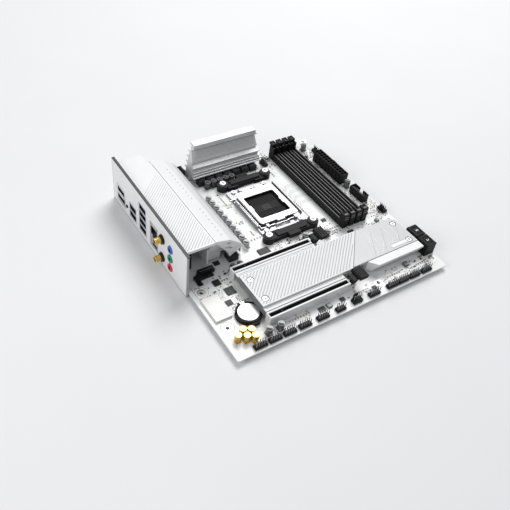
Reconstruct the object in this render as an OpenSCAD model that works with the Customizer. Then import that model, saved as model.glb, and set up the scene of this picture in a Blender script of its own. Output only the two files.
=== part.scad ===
// Micro-ATX computer motherboard, built as separate pieces.
// Millimetres, +Z up, +X from the rear (port) edge to the front edge, +Y from the card slots
// towards the processor side. The origin is the datum mounting hole at the board's underside.

/* [Board] */
// Length of the board from the rear edge to the front edge
board_w = 243.84; // [243.84:0.01:244.5]
// Depth of the board from the header edge to the top edge
board_d = 243.84; // [243.84:0.01:244.5]
// Thickness of the board
board_t = 1.6; // [1.2:0.1:2]
// Diameter of the tray mounting holes
tray_hole_dia = 3.96; // [3.8:0.02:4.2]
// Radius of the board's corners
board_corner = 2; // [1:0.5:3]

/* [Rear panel] */
// Width of the rear port plate
shield_w = 158.75; // [158.5:0.05:159]
// Height of the top of the port plate above the board
shield_top = 44.9; // [44:0.1:46]
// Depth of the bottom of the port plate below the board's top face
shield_drop = 5.3; // [4.6:0.1:6]
// Thickness of the port plate
shield_t = 0.8; // [0.6:0.1:1]
// Height of the port cover above the board
cover_top = 40; // [39:0.5:42]
// Wall of the port cover
cover_wall = 1.6; // [1.2:0.1:2]

/* [Voltage regulator cooling] */
// Front edge of the rear heatsink, measured from the rear edge
sink_edge = 68.7; // [67.5:0.1:68.8]
// Height of the top heatsink above the board
sink_top = 41.7; // [41:0.1:43]
// Gap from the board to the heatsink bases
sink_gap = 2.2; // [2:0.1:2.4]

/* [Processor socket] */
// Cooler screw spacing across the socket
cooler_dx = 54; // [53.5:0.1:54.5]
// Cooler screw spacing along the socket
cooler_dy = 90; // [89.5:0.1:90.5]
// Thickness of the load plate
plate_t = 1.1; // [0.9:0.1:1.2]
// Radius of the lever wire
wire_r = 0.9; // [0.7:0.05:0.95]

/* [Card slots] */
// Length of a full-length expansion slot
card_slot_l = 89; // [88:0.5:90]
// Height of an expansion slot
card_slot_h = 11.2; // [10.8:0.1:11.6]
// Distance between the two expansion slots
card_slot_pitch = 60.96; // [60.96:0.01:61]
// Distance between neighbouring memory slots
memory_pitch = 8.4; // [8.2:0.1:8.8]
// Width of a memory slot
memory_w = 6.4; // [6.2:0.1:6.6]
// Height of the memory slot towers
memory_tower_h = 17; // [16:0.5:18]

/* [Hidden] */
$fn = 48;

// Board coordinates: rear edge x = 0, header edge y = 0, top face z = 0
datum = [10.16, 80.01];
tray_holes = [[10.16, 80.01], [10.16, 34.29], [165.1, 13.97], [237.49, 13.97], [165.1, 80.01],
    [237.49, 80.01], [33.02, 237.49], [165.1, 237.49], [237.49, 237.49]];
cooler_mid = [129.2, 154.6];
socket_mid = [128.3, 153];
socket_screw_spots = [[108.5, 187.4], [147.5, 187.4], [107.5, 121], [149.5, 121]];

shield_face = -2.3;
shield_back = shield_face + shield_t;
shield_y0 = 85.3;
shield_y1 = shield_y0 + shield_w;

memory_x0 = 181.6;
memory_y = [90.5, 229.2];
card_slot_x = 42.9;
card_slot_y = 21.9;
card_slot_w = 7.5;

audio_y = 116.5;
audio_z = [5.2, 16.3, 27.4];
antenna_y = 132.6;
antenna_z = [4.8, 27.2];
button_spot = [210.6, 7];
usb_quad_y = [167, 182.5];
usb_pair_y = [189.4, 204.9];
network_y = [142.2, 158.4];
display_y = [215.2, 234.8];

// ---- helpers ---------------------------------------------------------------------------------

// Moves board coordinates to the part's own frame
module on_board() {
    translate([-datum[0], -datum[1], board_t]) children();
}

// Box between two limits on each axis
module box(x, y, z) {
    translate([x[0], y[0], z[0]]) cube([x[1] - x[0], y[1] - y[0], z[1] - z[0]]);
}

// Prism along X with its outline given as (y, z)
module along_x(x, outline) {
    translate([x[0], 0, 0]) rotate([90, 0, 90]) linear_extrude(x[1] - x[0]) polygon(outline);
}

// Prism along Y with its outline given as (x, z)
module along_y(y, outline) {
    translate([0, y[1], 0]) rotate([90, 0, 0]) linear_extrude(y[1] - y[0]) polygon(outline);
}

// Round bar along X
module rod_x(x, y, z, r) {
    translate([x[0], y, z]) rotate([0, 90, 0]) cylinder(r = r, h = x[1] - x[0]);
}

// Round bar along Y
module rod_y(x, y, z, r) {
    translate([x, y[1], z]) rotate([90, 0, 0]) cylinder(r = r, h = y[1] - y[0]);
}

// Upright round bar
module rod_z(x, y, z, r) {
    translate([x, y, z[0]]) cylinder(r = r, h = z[1] - z[0]);
}

// Box with rounded upright corners
module round_box(x, y, z, r) {
    box([x[0] + r, x[1] - r], y, z);
    box(x, [y[0] + r, y[1] - r], z);
    for (cx = [x[0] + r, x[1] - r], cy = [y[0] + r, y[1] - r]) rod_z(cx, cy, z, r);
}

// The four cooler screw places
function cooler_spots() = [for (sx = [-1, 1], sy = [-1, 1])
    [cooler_mid[0] + sx * cooler_dx / 2, cooler_mid[1] + sy * cooler_dy / 2]];

// Screw with a pan head and a cross recess, head seated at z
module screw(x, y, z, head_r, head_h, shank_r, depth) {
    difference() {
        union() {
            rod_z(x, y, [z, z + head_h], head_r);
            rod_z(x, y, [z - depth, z], shank_r);
        }
        box([x - head_r * 0.6, x + head_r * 0.6], [y - 0.35, y + 0.35],
            [z + head_h * 0.4, z + head_h + 1]);
        box([x - 0.35, x + 0.35], [y - head_r * 0.6, y + head_r * 0.6],
            [z + head_h * 0.4, z + head_h + 1]);
    }
}

// ---- board -----------------------------------------------------------------------------------

module pcb() {
    color("whitesmoke") on_board() difference() {
        round_box([0, board_w], [0, board_d], [-board_t, 0], board_corner);
        for (p = tray_holes) rod_z(p[0], p[1], [-board_t - 1, 1], tray_hole_dia / 2);
        for (p = cooler_spots()) rod_z(p[0], p[1], [-board_t - 1, 1], 2.1);
    }
}

// ---- rear panel ------------------------------------------------------------------------------

// Openings through the port plate
module port_openings(x) {
    gap = 0.25;
    for (z = audio_z) rod_x(x, audio_y, z, 4.3);
    for (z = antenna_z) rod_x(x, antenna_y, z, 3.3);
    rod_x(x, button_spot[0], button_spot[1], 2.1);
    box(x, [usb_quad_y[0] - gap, usb_quad_y[1] + gap], [-0.4, 34.6]);
    box(x, [usb_pair_y[0] - gap, usb_pair_y[1] + gap], [-0.4, 18.2]);
    box(x, [network_y[0] - gap, network_y[1] + gap], [-0.4, 30.3]);
    box(x, [display_y[0] - gap, display_y[1] + gap], [-0.4, 21.3]);
}

module io_shield() {
    rim = 0.8;
    edge_y = [shield_y0 + rim, shield_y1 - rim];
    edge_z = [-shield_drop + rim, shield_top - rim];
    color("white") on_board() difference() {
        union() {
            box([shield_face, shield_back], edge_y, edge_z);
            box([shield_back, -0.2], edge_y, [edge_z[0], edge_z[0] + 0.8]);
            box([shield_back, 0.6], edge_y, [edge_z[1] - 0.8, edge_z[1]]);
        }
        port_openings([shield_face - 1, shield_back + 0.5]);
    }
}

module io_gasket() {
    rim = 0.8;
    color("dimgray") on_board() {
        box([shield_face, -0.2], [shield_y0, shield_y1], [-shield_drop, -shield_drop + rim]);
        box([shield_face, 0.6], [shield_y0, shield_y1], [shield_top - rim, shield_top]);
        for (y = [shield_y0, shield_y1 - rim])
            box([shield_face, -0.2], [y, y + rim], [-shield_drop + rim, shield_top - rim]);
    }
}

// Plan of the port cover, set in by t from its outside, with a step round the corner screw
function cover_plan(t) = [[-1.4, 90], [31.2 - t, 90], [31.2 - t, 223.8 - t * 0.4],
    [28 - t, 228.2 - t * 0.4], [28 - t, 242.4 - t], [-1.4, 242.4 - t]];

// Side outline of the port cover, cut back under the top edge of its open near end
cover_side = [[95.2, cover_top], [95.2, 37.2], [106, 22], [106, 4], [243, 4], [243, cover_top]];

module io_cover() {
    color("white") on_board() difference() {
        intersection() {
            translate([0, 0, 4]) linear_extrude(60) polygon(cover_plan(0));
            along_x([-5, 40], cover_side);
        }
        difference() {
            along_x([-5, 31.2 - cover_wall], [[90, 0], [90, 37.2], [97, 37.2],
                [99, cover_top - cover_wall], [242.4 - cover_wall, cover_top - cover_wall],
                [242.4 - cover_wall, 0]]);
            translate([28 - cover_wall, 227.6, -1]) cube([20, 30, 60]);
            translate([31.2 - cover_wall, 223.2, -1]) rotate([0, 0, 36]) cube([20, 30, 60]);
        }
    }
}

// One jack of the stack, with a round barrel that shows through the port plate and a rear foot
module jack(z, low, high, back) {
    difference() {
        union() {
            box([0, back], [audio_y - 6, audio_y + 6], [low, high]);
            box([back - 1.5, back], [audio_y - 6, audio_y + 6], [0, high]);
            rod_x([shield_face - 1, 0.5], audio_y, z, 4);
        }
        rod_x([shield_face - 2, 11], audio_y, z, 1.8);
    }
}

module audio_jacks() {
    color("darkslategray") on_board() {
        jack(audio_z[0], 0, 10.6, 12.4);
        jack(audio_z[1], 10.9, 21.7, 14.2);
        jack(audio_z[2], 22, 33, 16);
    }
}

module antenna_jacks() {
    color("gold") on_board() for (z = antenna_z) {
        difference() {
            rod_x([shield_face - 8, 3], antenna_y, z, 3.175);
            rod_x([shield_face - 9, shield_face - 3], antenna_y, z, 2.3);
        }
        rod_x([shield_face - 7, shield_face - 2.5], antenna_y, z, 0.7);
        difference() {
            union() {
                rod_x([shield_face - 0.8, shield_face], antenna_y, z, 5);
                translate([shield_face - 2.4, antenna_y, z]) rotate([0, 90, 0])
                    cylinder(r = 4.6, h = 1.6, $fn = 6);
                translate([shield_back, antenna_y, z]) rotate([0, 90, 0])
                    cylinder(r = 4.4, h = 1.2, $fn = 6);
            }
            rod_x([shield_face - 3, 3], antenna_y, z, 3.175);
        }
        rod_x([3, 9], antenna_y, z, 1.4);
    }
}

// Mouth of a flat port with its tongue, opening towards the rear
module flat_port(mid_y, z, w, h, depth, tongue) {
    difference() {
        box([shield_face - 1, depth], [mid_y - w / 2, mid_y + w / 2], [z - h / 2, z + h / 2]);
        box([shield_face + 1, depth + 1], [mid_y - w * 0.4, mid_y + w * 0.4],
            [z + tongue[0], z + tongue[1]]);
    }
}

module usb_ports() {
    mid_quad = (usb_quad_y[0] + usb_quad_y[1]) / 2;
    mid_pair = (usb_pair_y[0] + usb_pair_y[1]) / 2;
    color("silver") on_board() {
        difference() {
            box([shield_face + 0.1, 17.5], usb_quad_y, [0, 34.2]);
            for (i = [0:3]) flat_port(mid_quad, 4.7 + i * 8.5, 13.2, 6, 9, [0.3, 2.2]);
            box([10, 16.8], [usb_quad_y[0] + 0.7, usb_quad_y[1] - 0.7], [-1, 33.4]);
        }
        difference() {
            box([shield_face + 0.1, 17.5], usb_pair_y, [0, 17.8]);
            for (i = [0:1]) flat_port(mid_pair, 4.7 + i * 8.5, 13.2, 6, 9, [0.3, 2.2]);
            box([10, 16.8], [usb_pair_y[0] + 0.7, usb_pair_y[1] - 0.7], [-1, 17]);
        }
    }
}

module network_port() {
    mid = (network_y[0] + network_y[1]) / 2;
    color("silver") on_board() difference() {
        box([shield_face + 0.1, 20], network_y, [0, 30]);
        box([shield_face - 1, 11], [mid - 6.4, mid + 6.4], [15.6, 25.6]);
        box([shield_face - 1, 11], [mid - 3.2, mid + 3.2], [13.2, 15.7]);
        box([shield_face - 1, 11], [mid - 1.8, mid + 1.8], [12, 13.3]);
        flat_port(mid - 1.6, 4.6, 9.2, 3.4, 7, [-0.4, 0.4]);
        box([12, 19.2], [network_y[0] + 0.8, network_y[1] - 0.8], [-1, 29.2]);
    }
}

module display_ports() {
    mid = (display_y[0] + display_y[1]) / 2;
    color("silver") on_board() difference() {
        box([shield_face + 0.1, 16], display_y, [0, 21]);
        box([10, 15.2], [display_y[0] + 0.8, display_y[1] - 0.8], [-1, 20.2]);
        difference() {
            flat_port(mid, 15.6, 15, 5.6, 9, [-0.8, 0.8]);
            for (s = [-1, 1]) translate([-5, mid + s * 8.1, 12.4]) rotate([45, 0, 0])
                cube([20, 2.4, 2.4], center = true);
        }
        difference() {
            flat_port(mid, 6, 16.4, 5.2, 9, [-0.8, 0.8]);
            translate([-5, mid - 8.6, 3]) rotate([45, 0, 0]) cube([20, 2.6, 2.6], center = true);
        }
    }
}

module flash_button() {
    color("dimgray") on_board() {
        rod_x([shield_face - 0.9, 2.4], button_spot[0], button_spot[1], 1.7);
        box([0.2, 1.2], [button_spot[0] - 2.2, button_spot[0] + 2.2],
            [button_spot[1] - 2.2, button_spot[1] + 2.2]);
    }
}

module flash_switch() {
    y = button_spot[0];
    z = button_spot[1];
    color("dimgray") on_board() difference() {
        box([-0.6, 8], [y - 3.4, y + 3.4], [0, 10.6]);
        box([-1, 4.2], [y - 2.6, y + 2.6], [z - 2.6, z + 2.6]);
    }
}

// ---- voltage regulator -----------------------------------------------------------------------

rear_stage_count = 8;
rear_stage_y0 = 106;
rear_stage_pitch = 16.2;
top_stage_count = 7;
top_stage_x0 = 86;
top_stage_pitch = 10.8;

module vrm_heatsink_rear() {
    outline = [[31.6, cover_top], [33.4, cover_top], [46.8, 37.1], [59.3, 27.7],
        [sink_edge, 13.4], [sink_edge, 2.6], [sink_edge - 1.5, 2.6], [sink_edge - 1.5, 8.6],
        [47.5, 8.6], [47.5, sink_gap], [33.6, sink_gap], [31.6, 5]];
    color("white") on_board() difference() {
        along_y([95.4, 229.5], outline);
        for (z = [10:6:34]) box([30, 42], [114, 240], [z, z + 2.4]);
        // Open recess under the near end, beside the port cover
        intersection() {
            along_y([90, 112], [[28, -1], [28, 37.8], [32.4, 37.4], [48.5, 17], [52, 8], [52, -1]]);
            along_x([28, 53], [[90, 40], [97, 40], [111, 10], [111, -1], [90, -1]]);
        }
        // Facets that lean back below the skin
        intersection() {
            along_y([90, 112], [[47, -1], [47, 17], [58.3, 25.6], [66.8, 12.6], [70, 11.4],
                [70, -1]]);
            linear_extrude(40) polygon([[46, 90], [46, 99], [72, 109], [72, 90]]);
        }
        intersection() {
            along_y([90, 112], [[31, 12], [31, 38], [33.2, 38], [46.2, 35.2], [58.4, 26],
                [66.9, 13], [66.9, 12]]);
            along_x([30, 68], [[90, 38], [95.4, 38], [100.5, 12], [90, 12]]);
        }
        // Angular notches in the facets
        along_y([90, 104], [[43.5, 33.4], [50.8, 31.4], [47, 29.8]]);
        along_y([90, 103], [[41, 27.5], [49.5, 25], [57.5, 20.8], [56.5, 19.4], [48.5, 22.6]]);
    }
}

// Outline of the top heatsink as (y, z): lip, hatched face, ridges, foot and rear fins
function top_sink_outline() = concat(
    [[239.4, sink_top], [230.4, sink_top], [230.4, 36.2], [232, 36.2], [233.4, 34.6],
     [227.4, 23.2], [229.6, 22.4], [228.6, 21.2], [222.6, 18.8], [224.8, 15.4],
     [220.6, 14.6], [220.6, 13.6], [222.8, 12.9], [219.4, 12.2], [219.4, 11.2],
     [221.8, 10.5], [218, 9.8], [218, 8.4], [227.6, 8.4], [227.6, sink_gap], [237.4, sink_gap]],
    [for (i = [0:4]) for (p = [[237.4, 6.4], [240.2, 6.4], [240.2, 8.4], [236, 8.4]])
        [p[0], p[1] + i * 6.2]],
    [[236, 39.8], [239.4, 39.8]]);

module vrm_heatsink_top() {
    color("silver") on_board() difference() {
        along_x([75.2, 163], top_sink_outline());
        translate([75.2, 200, 0]) rotate([0, 11.5, 0]) translate([-30, 0, -10])
            cube([30, 60, 70]);
        translate([163, 200, 8]) rotate([0, -5, 0]) translate([0, 0, -20]) cube([30, 60, 70]);
    }
}

module thermal_pads() {
    color("lightsteelblue") on_board() {
        box([35, 46.5], [113, 226], [1, sink_gap]);
        box([80, 158], [228, 237], [1, sink_gap]);
        box([188, 208], [40, 60], [1.7, 2]);
        box([76, 140], [40, 60], [9.2, 10.4]);
    }
}

module power_stages() {
    color("#202022") on_board() {
        for (i = [0:rear_stage_count - 1])
            box([37.5, 43.5], [rear_stage_y0 - 2.5 + i * rear_stage_pitch,
                rear_stage_y0 + 2.5 + i * rear_stage_pitch], [0, 1]);
        for (i = [0:top_stage_count - 1])
            box([top_stage_x0 - 2.5 + i * top_stage_pitch, top_stage_x0 + 2.5 + i * top_stage_pitch],
                [229.5, 235.5], [0, 1]);
    }
}

// Moulded choke with chamfered upper edges
module choke(x, y, w, d, h) {
    intersection() {
        along_x([x - w / 2, x + w / 2], [[y - d / 2, 0], [y + d / 2, 0], [y + d / 2, h - 0.8],
            [y + d / 2 - 0.8, h], [y - d / 2 + 0.8, h], [y - d / 2, h - 0.8]]);
        along_y([y - d / 2, y + d / 2], [[x - w / 2, 0], [x + w / 2, 0], [x + w / 2, h - 0.8],
            [x + w / 2 - 0.8, h], [x - w / 2 + 0.8, h], [x - w / 2, h - 0.8]]);
    }
}

module vrm_chokes() {
    color("#2a2a2c") on_board() {
        for (i = [0:rear_stage_count - 1])
            choke(57, rear_stage_y0 + i * rear_stage_pitch, 10, 10, 7.4);
        for (i = [0:top_stage_count - 1])
            choke(top_stage_x0 + i * top_stage_pitch, 217.4, 8.6, 7.6, 7.2);
    }
}

// Can capacitor: base tray, can with a rolled groove
module can_capacitor(x, y, r, h) {
    difference() {
        union() {
            box([x - r, x + r], [y - r, y + r], [0, 0.8]);
            rod_z(x, y, [0.8, h], r);
        }
        translate([x, y, 0]) rotate_extrude() polygon([[r - 0.35, 1.6], [r + 1, 1.4],
            [r + 1, 2.4], [r - 0.35, 2.2]]);
    }
}

module vrm_capacitors() {
    color("#b9bcc0") on_board() {
        for (i = [0:9]) can_capacitor(78, 112.8 + i * 8.3, 3.1, 7);
        for (i = [0:4]) can_capacitor(89.2 + i * 7.42, 209, 3.1, 8);
    }
}

// ---- processor socket ------------------------------------------------------------------------

hinge_y = 184;
hinge_z = 4.4;
lever_y = 124.8;
lever_z = 3.4;
lever_x = 103.8;
crank = 2;

module socket_body() {
    mx = socket_mid[0];
    my = socket_mid[1];
    color("#1b1b1d") on_board() difference() {
        round_box([mx - 21.8, mx + 21.8], [my - 21.8, my + 21.8], [0, 5], 1);
        box([mx - 20.2, mx + 20.2], [my - 20.2, my + 20.2], [2.6, 6]);
    }
}

module socket_contacts() {
    mx = socket_mid[0];
    my = socket_mid[1];
    color("goldenrod") on_board() {
        difference() {
            box([mx - 19.4, mx + 19.4], [my - 19.4, my + 19.4], [2.6, 2.9]);
            box([mx - 5, mx + 5], [my - 4, my + 4], [2, 3]);
        }
        for (i = [-9:9])
            if (abs(i) > 2) box([mx - 19, mx + 19], [my + i * 2 - 0.4, my + i * 2 + 0.4], [2.9, 3.2]);
    }
}

module socket_frame() {
    mx = socket_mid[0];
    my = socket_mid[1];
    color("lightgray") on_board() difference() {
        union() {
            round_box([101, 156.5], [118, 190.8], [0.3, 2.3], 2);
            box([101, 102.1], [128, 172], [2.3, 5.2]);
            box([155.4, 156.5], [128, 184], [2.3, 5.2]);
            // Hinge ears of the load plate
            for (x = [113, 141]) box([x, x + 2], [181.6, 186.4], [2.3, 6.8]);
            // Saddles of the lever
            for (x = [110, 144]) box([x, x + 3], [122.4, 127.4], [2.3, 5.6]);
            // Lip that the lever's arm springs under
            box([101, 102.7], [164, 170], [5.2, 6.2]);
        }
        box([mx - 22.1, mx + 22.1], [my - 22.1, my + 22.1], [0, 3]);
        box([119.4, 137.6], [120.6, 128.6], [0, 3]);
        rod_x([110, 146], hinge_y, hinge_z, 1.06);
        rod_x([105, 150], lever_y, lever_z, wire_r + 0.06);
        for (p = socket_screw_spots) rod_z(p[0], p[1], [0, 3], 1.6);
    }
}

module socket_screws() {
    color("silver") on_board() for (p = socket_screw_spots)
        screw(p[0], p[1], 2.3, 2.5, 1.5, 1.3, 2);
}

module load_plate() {
    color("gainsboro") on_board() {
        z = [5.7, 5.7 + plate_t];
        difference() {
            union() {
                round_box([105.6, 151.2], [127.6, 180.4], z, 2.5);
                // Nose under the lever
                box([124, 133], [125.6, 128], z);
                // Side flanges that stiffen the plate
                for (x = [105.6, 150.4]) box([x, x + 0.8], [132, 174], [4.2, 5.8]);
            }
            difference() {
                round_box([109.5, 146.5], [134.9, 170.5], [5, 8], 2.2);
                box([109, 110.7], [148.6, 156.4], [4, 9]);
                box([145.3, 147], [147.4, 156.8], [4, 9]);
            }
        }
        // Curled hinge knuckles with the pin ends
        for (x = [[115.4, 124], [132, 140.6]]) {
            box(x, [179.8, 183], [5.1, 5.7 + plate_t]);
            rod_x(x, hinge_y, hinge_z, 1.9);
        }
        rod_x([112.8, 143.2], hinge_y, hinge_z, 1);
    }
}

module load_lever() {
    side = lever_x;
    handle_y = 176;
    color("silver") on_board() {
        rod_x([side, 121], lever_y, lever_z, wire_r);
        rod_x([136, 148], lever_y, lever_z, wire_r);
        // Crank beside the nose
        for (x = [121, 136]) translate([x, lever_y, lever_z]) rotate([60, 0, 0])
            cylinder(r = wire_r, h = crank);
        for (x = [121, 136]) translate([x, lever_y, lever_z]) sphere(r = wire_r);
        translate([0, -crank * sin(60), crank * cos(60)]) {
            rod_x([121, 136], lever_y, lever_z, wire_r);
            for (x = [121, 136]) translate([x, lever_y, lever_z]) sphere(r = wire_r);
        }
        translate([side, lever_y, lever_z]) sphere(r = wire_r);
        rod_y(side, [lever_y, handle_y], lever_z, wire_r);
        translate([side, handle_y, lever_z]) sphere(r = wire_r);
        translate([side, handle_y, lever_z]) rotate([0, -90, 0]) cylinder(r = wire_r, h = 6.4);
        translate([side - 6.4, handle_y, lever_z]) sphere(r = wire_r);
    }
}

// Cooler bracket with round ends and a clip lug; side is 1 for the top one, -1 for the bottom one
module cooler_bracket(side) {
    y = cooler_mid[1] + side * cooler_dy / 2;
    mx = cooler_mid[0];
    screw_x = [mx - cooler_dx / 2, mx + cooler_dx / 2];
    color("#18181a") on_board() difference() {
        union() {
            box([screw_x[0], screw_x[1]], [y - 4.6, y + 4.6], [0, 5.6]);
            box([screw_x[0] + 9, screw_x[1] - 9], [y - 3.4, y + 3.4], [5.6, 7]);
            for (x = screw_x) rod_z(x, y, [0, 7], 6);
            box([mx - 6.8, mx + 6.8], [y + side * 6 - 2.4, y + side * 6 + 2.4], [2.4, 7]);
            // Corner block beside each screw, facing the socket
            for (x = [screw_x[0] + 4, screw_x[1] - 16])
                box([x, x + 12], [y - side * 4.6 - 2, y - side * 4.6 + 2], [0, 5]);
        }
        for (x = screw_x) rod_z(x, y, [-1, 8], 2.2);
        box([mx - 5, mx + 5], [y + side * 6 - 5, y + side * 6 + 5], [-1, 2.4]);
    }
}

module cooler_screws() {
    color("silver") on_board() for (p = cooler_spots()) screw(p[0], p[1], 7, 3.4, 2.4, 1.8, 10.6);
}

module cooler_backplate() {
    mx = cooler_mid[0];
    my = cooler_mid[1];
    color("dimgray") on_board() difference() {
        union() {
            round_box([mx - 33, mx + 33], [my - 51, my + 51], [-4.3, -2.4], 6);
            for (p = cooler_spots()) rod_z(p[0], p[1], [-2.4, -board_t], 4.6);
        }
        round_box([mx - 12, mx + 12], [my - 12, my + 12], [-5, 0], 4);
        for (p = cooler_spots()) rod_z(p[0], p[1], [-5, 0], 1.9);
        for (s = [-1, 1]) round_box([mx - 12, mx + 12], [my + s * 33 - 5, my + s * 33 + 5],
            [-5, 0], 3);
    }
}

// ---- memory slots ----------------------------------------------------------------------------

latch_y = 226.6;
latch_z = 4;

// Memory slot number n, 1 nearest the socket
module memory_slot(n) {
    x = memory_x0 + memory_w / 2 + (n - 1) * memory_pitch;
    half = memory_w / 2;
    color("#161618") on_board() difference() {
        union() {
            box([x - half, x + half], memory_y, [0, 8.6]);
            box([x - half, x + half], [memory_y[0], memory_y[0] + 7.6], [8.6, memory_tower_h]);
            box([x - half, x + half], [memory_y[1] - 8.6, memory_y[1]],
                [8.6, memory_tower_h - 0.6]);
        }
        // Card groove, in two lengths with the key between them
        box([x - 0.95, x + 0.95], [94.6, 157.2], [2.2, memory_tower_h + 1]);
        box([x - 0.95, x + 0.95], [159, 222], [2.2, 9]);
        box([x - 0.95, x + 0.95], [218, 223], [8.6, memory_tower_h + 1]);
        // Lead-in on both sides of the groove
        along_y([99, 220], [[x - 0.9, 7.6], [x + 0.9, 7.6], [x + 1.7, 8.7], [x - 1.7, 8.7]]);
        // Fork for the latch
        box([x - 1.65, x + 1.65], [222.4, memory_y[1] + 1], [1.6, memory_tower_h + 1]);
        rod_x([x - half - 1, x + half + 1], latch_y, latch_z, 1.06);
    }
}

module memory_latch(n) {
    x = memory_x0 + memory_w / 2 + (n - 1) * memory_pitch;
    top = memory_tower_h - 0.2;
    color("#202023") on_board() {
        box([x - 1.4, x + 1.4], [224.6, 228.8], [latch_z, top]);
        rod_x([x - 1.4, x + 1.4], latch_y, latch_z, 2.2);
        rod_x([x - memory_w / 2 + 0.3, x + memory_w / 2 - 0.3], latch_y, latch_z, 1);
        // Ejector toe and hook
        box([x - 0.8, x + 0.8], [222.8, latch_y], [2.6, 3.6]);
        box([x - 0.8, x + 0.8], [223.2, 225], [13.4, 15]);
        // Square thumb knob
        difference() {
            box([x - 3, x + 3], [224.2, 231.4], [top, top + 2.8]);
            along_x([x - 4, x + 4], [[231.5, top - 1], [231.5, top + 1.2], [229.4, top - 0.1],
                [229.4, top - 1]]);
            box([x - 1.8, x + 1.8], [225.6, 230], [top + 2, top + 4]);
        }
    }
}

// ---- expansion slots -------------------------------------------------------------------------

latch_pivot_x = 136.4;
latch_pivot_z = 3.4;

// Housing of an expansion slot whose groove runs along y
module card_slot(y) {
    half = card_slot_w / 2;
    x1 = card_slot_x + card_slot_l;
    color("white") on_board() difference() {
        union() {
            box([card_slot_x, x1], [y - half, y + half], [0, card_slot_h]);
            // Fork that carries the latch
            for (s = [-1, 1]) box([x1, x1 + 7], [y + s * 2.9 - 0.85, y + s * 2.9 + 0.85], [0, 6.4]);
            box([x1, x1 + 7], [y - half, y + half], [0, 0.9]);
        }
        box([card_slot_x + 1, x1 - 1], [y - 2.2, y + 2.2], [1.2, card_slot_h + 1]);
        rod_y(latch_pivot_x, [y - half - 1, y + half + 1], latch_pivot_z, 1.26);
        // Row of relief pockets along each outer face
        for (i = [0:9], s = [-1, 1])
            box([card_slot_x + 6 + i * 8.4, card_slot_x + 9 + i * 8.4],
                [y + s * half - 0.5, y + s * half + 0.5], [2, 5]);
    }
}

// Black contact insert inside each housing
module card_slot_inserts() {
    color("#141416") on_board() for (y = [card_slot_y, card_slot_y + card_slot_pitch]) {
        difference() {
            box([card_slot_x + 1.1, card_slot_x + card_slot_l - 1.1], [y - 2.1, y + 2.1],
                [1.2, card_slot_h - 0.5]);
            box([44.6, 56.2], [y - 0.9, y + 0.9], [2.4, card_slot_h + 1]);
            box([58, 130.4], [y - 0.9, y + 0.9], [2.4, card_slot_h + 1]);
            for (s = [-1, 1]) along_x([44.6, 130.4], [[y + s * 0.8, card_slot_h - 1.6],
                [y + s * 1.6, card_slot_h], [y + s * 0.8, card_slot_h]]);
        }
    }
}

module card_latch(y) {
    px = latch_pivot_x;
    pz = latch_pivot_z;
    color("#1a1a1c") on_board() {
        along_y([y - 1.8, y + 1.8], [[px - 2.4, 2.2], [px + 1.8, 2.2], [px + 5.6, 8], [px + 12, 12.4],
            [px + 12.6, 16], [px + 4, 16], [px + 1.6, 13.6], [px - 3.6, 13.6], [px - 3.6, 11.8],
            [px - 1, 11.4]]);
        rod_y(px, [y - card_slot_w / 2 + 0.2, y + card_slot_w / 2 - 0.2], pz, 1.2);
        // Wide thumb pad
        difference() {
            along_y([y - 6.8, y + 6.8], [[px + 3.2, 13.4], [px + 11.6, 13.4], [px + 13.4, 15.2],
                [px + 12.6, 17.6], [px + 4, 17.6], [px + 2.4, 15.6]]);
            for (x = [px + 5, px + 7.6, px + 10.2]) box([x, x + 1], [y - 5.4, y + 5.4], [17, 18]);
        }
        // Hook that catches the card
        along_y([y - 4.6, y + 4.6], [[px - 3.6, 11.8], [px + 1.8, 11.8], [px + 3.4, 14.2],
            [px - 2.2, 14.2]]);
    }
}

// ---- storage cover and chipset ---------------------------------------------------------------

m2_y = [31, 71.4];

module m2_cover() {
    plan = [[43, m2_y[0]], [144, m2_y[0]], [179.2, m2_y[1]], [43, m2_y[1]]];
    screws = [[50, 38.2], [50.2, 63.1]];
    color("white") on_board() difference() {
        union() {
            translate([0, 0, 11.6]) linear_extrude(2.2) polygon(plan);
            box([43, 131.4], [26.4, 77.4], [10.4, 11.6]);
            translate([0, 0, 10.4]) linear_extrude(1.2) polygon(plan);
            box([43, 44.4], [26.4, 77.4], [5, 10.4]);
            box([44.4, 128], [26.4, 27.6], [7.4, 10.4]);
            box([44.4, 128], [76.2, 77.4], [7.4, 10.4]);
        }
        for (p = screws) rod_z(p[0], p[1], [4, 15], 1.6);
        for (p = screws) rod_z(p[0], p[1], [12.2, 15], 3);
        // Long relief grooves beside the raised panel
        for (y = [28.6, 74.4]) box([45, 129], [y, y + 0.8], [11.1, 12]);
    }
}

module chipset_cover() {
    plan = [[146.1, 32.4], [229, 32.4], [229, 66], [224.4, 71.2], [179.9, 71.2]];
    screws = [[221.9, 37.2], [222.4, 62.5]];
    color("lightgray") on_board() difference() {
        translate([0, 0, 10.2]) linear_extrude(3) polygon(plan);
        for (p = screws) rod_z(p[0], p[1], [9, 15], 1.6);
        for (p = screws) rod_z(p[0], p[1], [12, 15], 3);
        // Shallow seat of the label bar
        round_box([198, 219], [34.6, 39.4], [12.9, 14], 1.4);
        // Fine engraved lines
        for (x = [176, 190, 209]) translate([x, 34, 12.95]) rotate([0, 0, 60]) cube([34, 0.5, 1]);
    }
}

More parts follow.
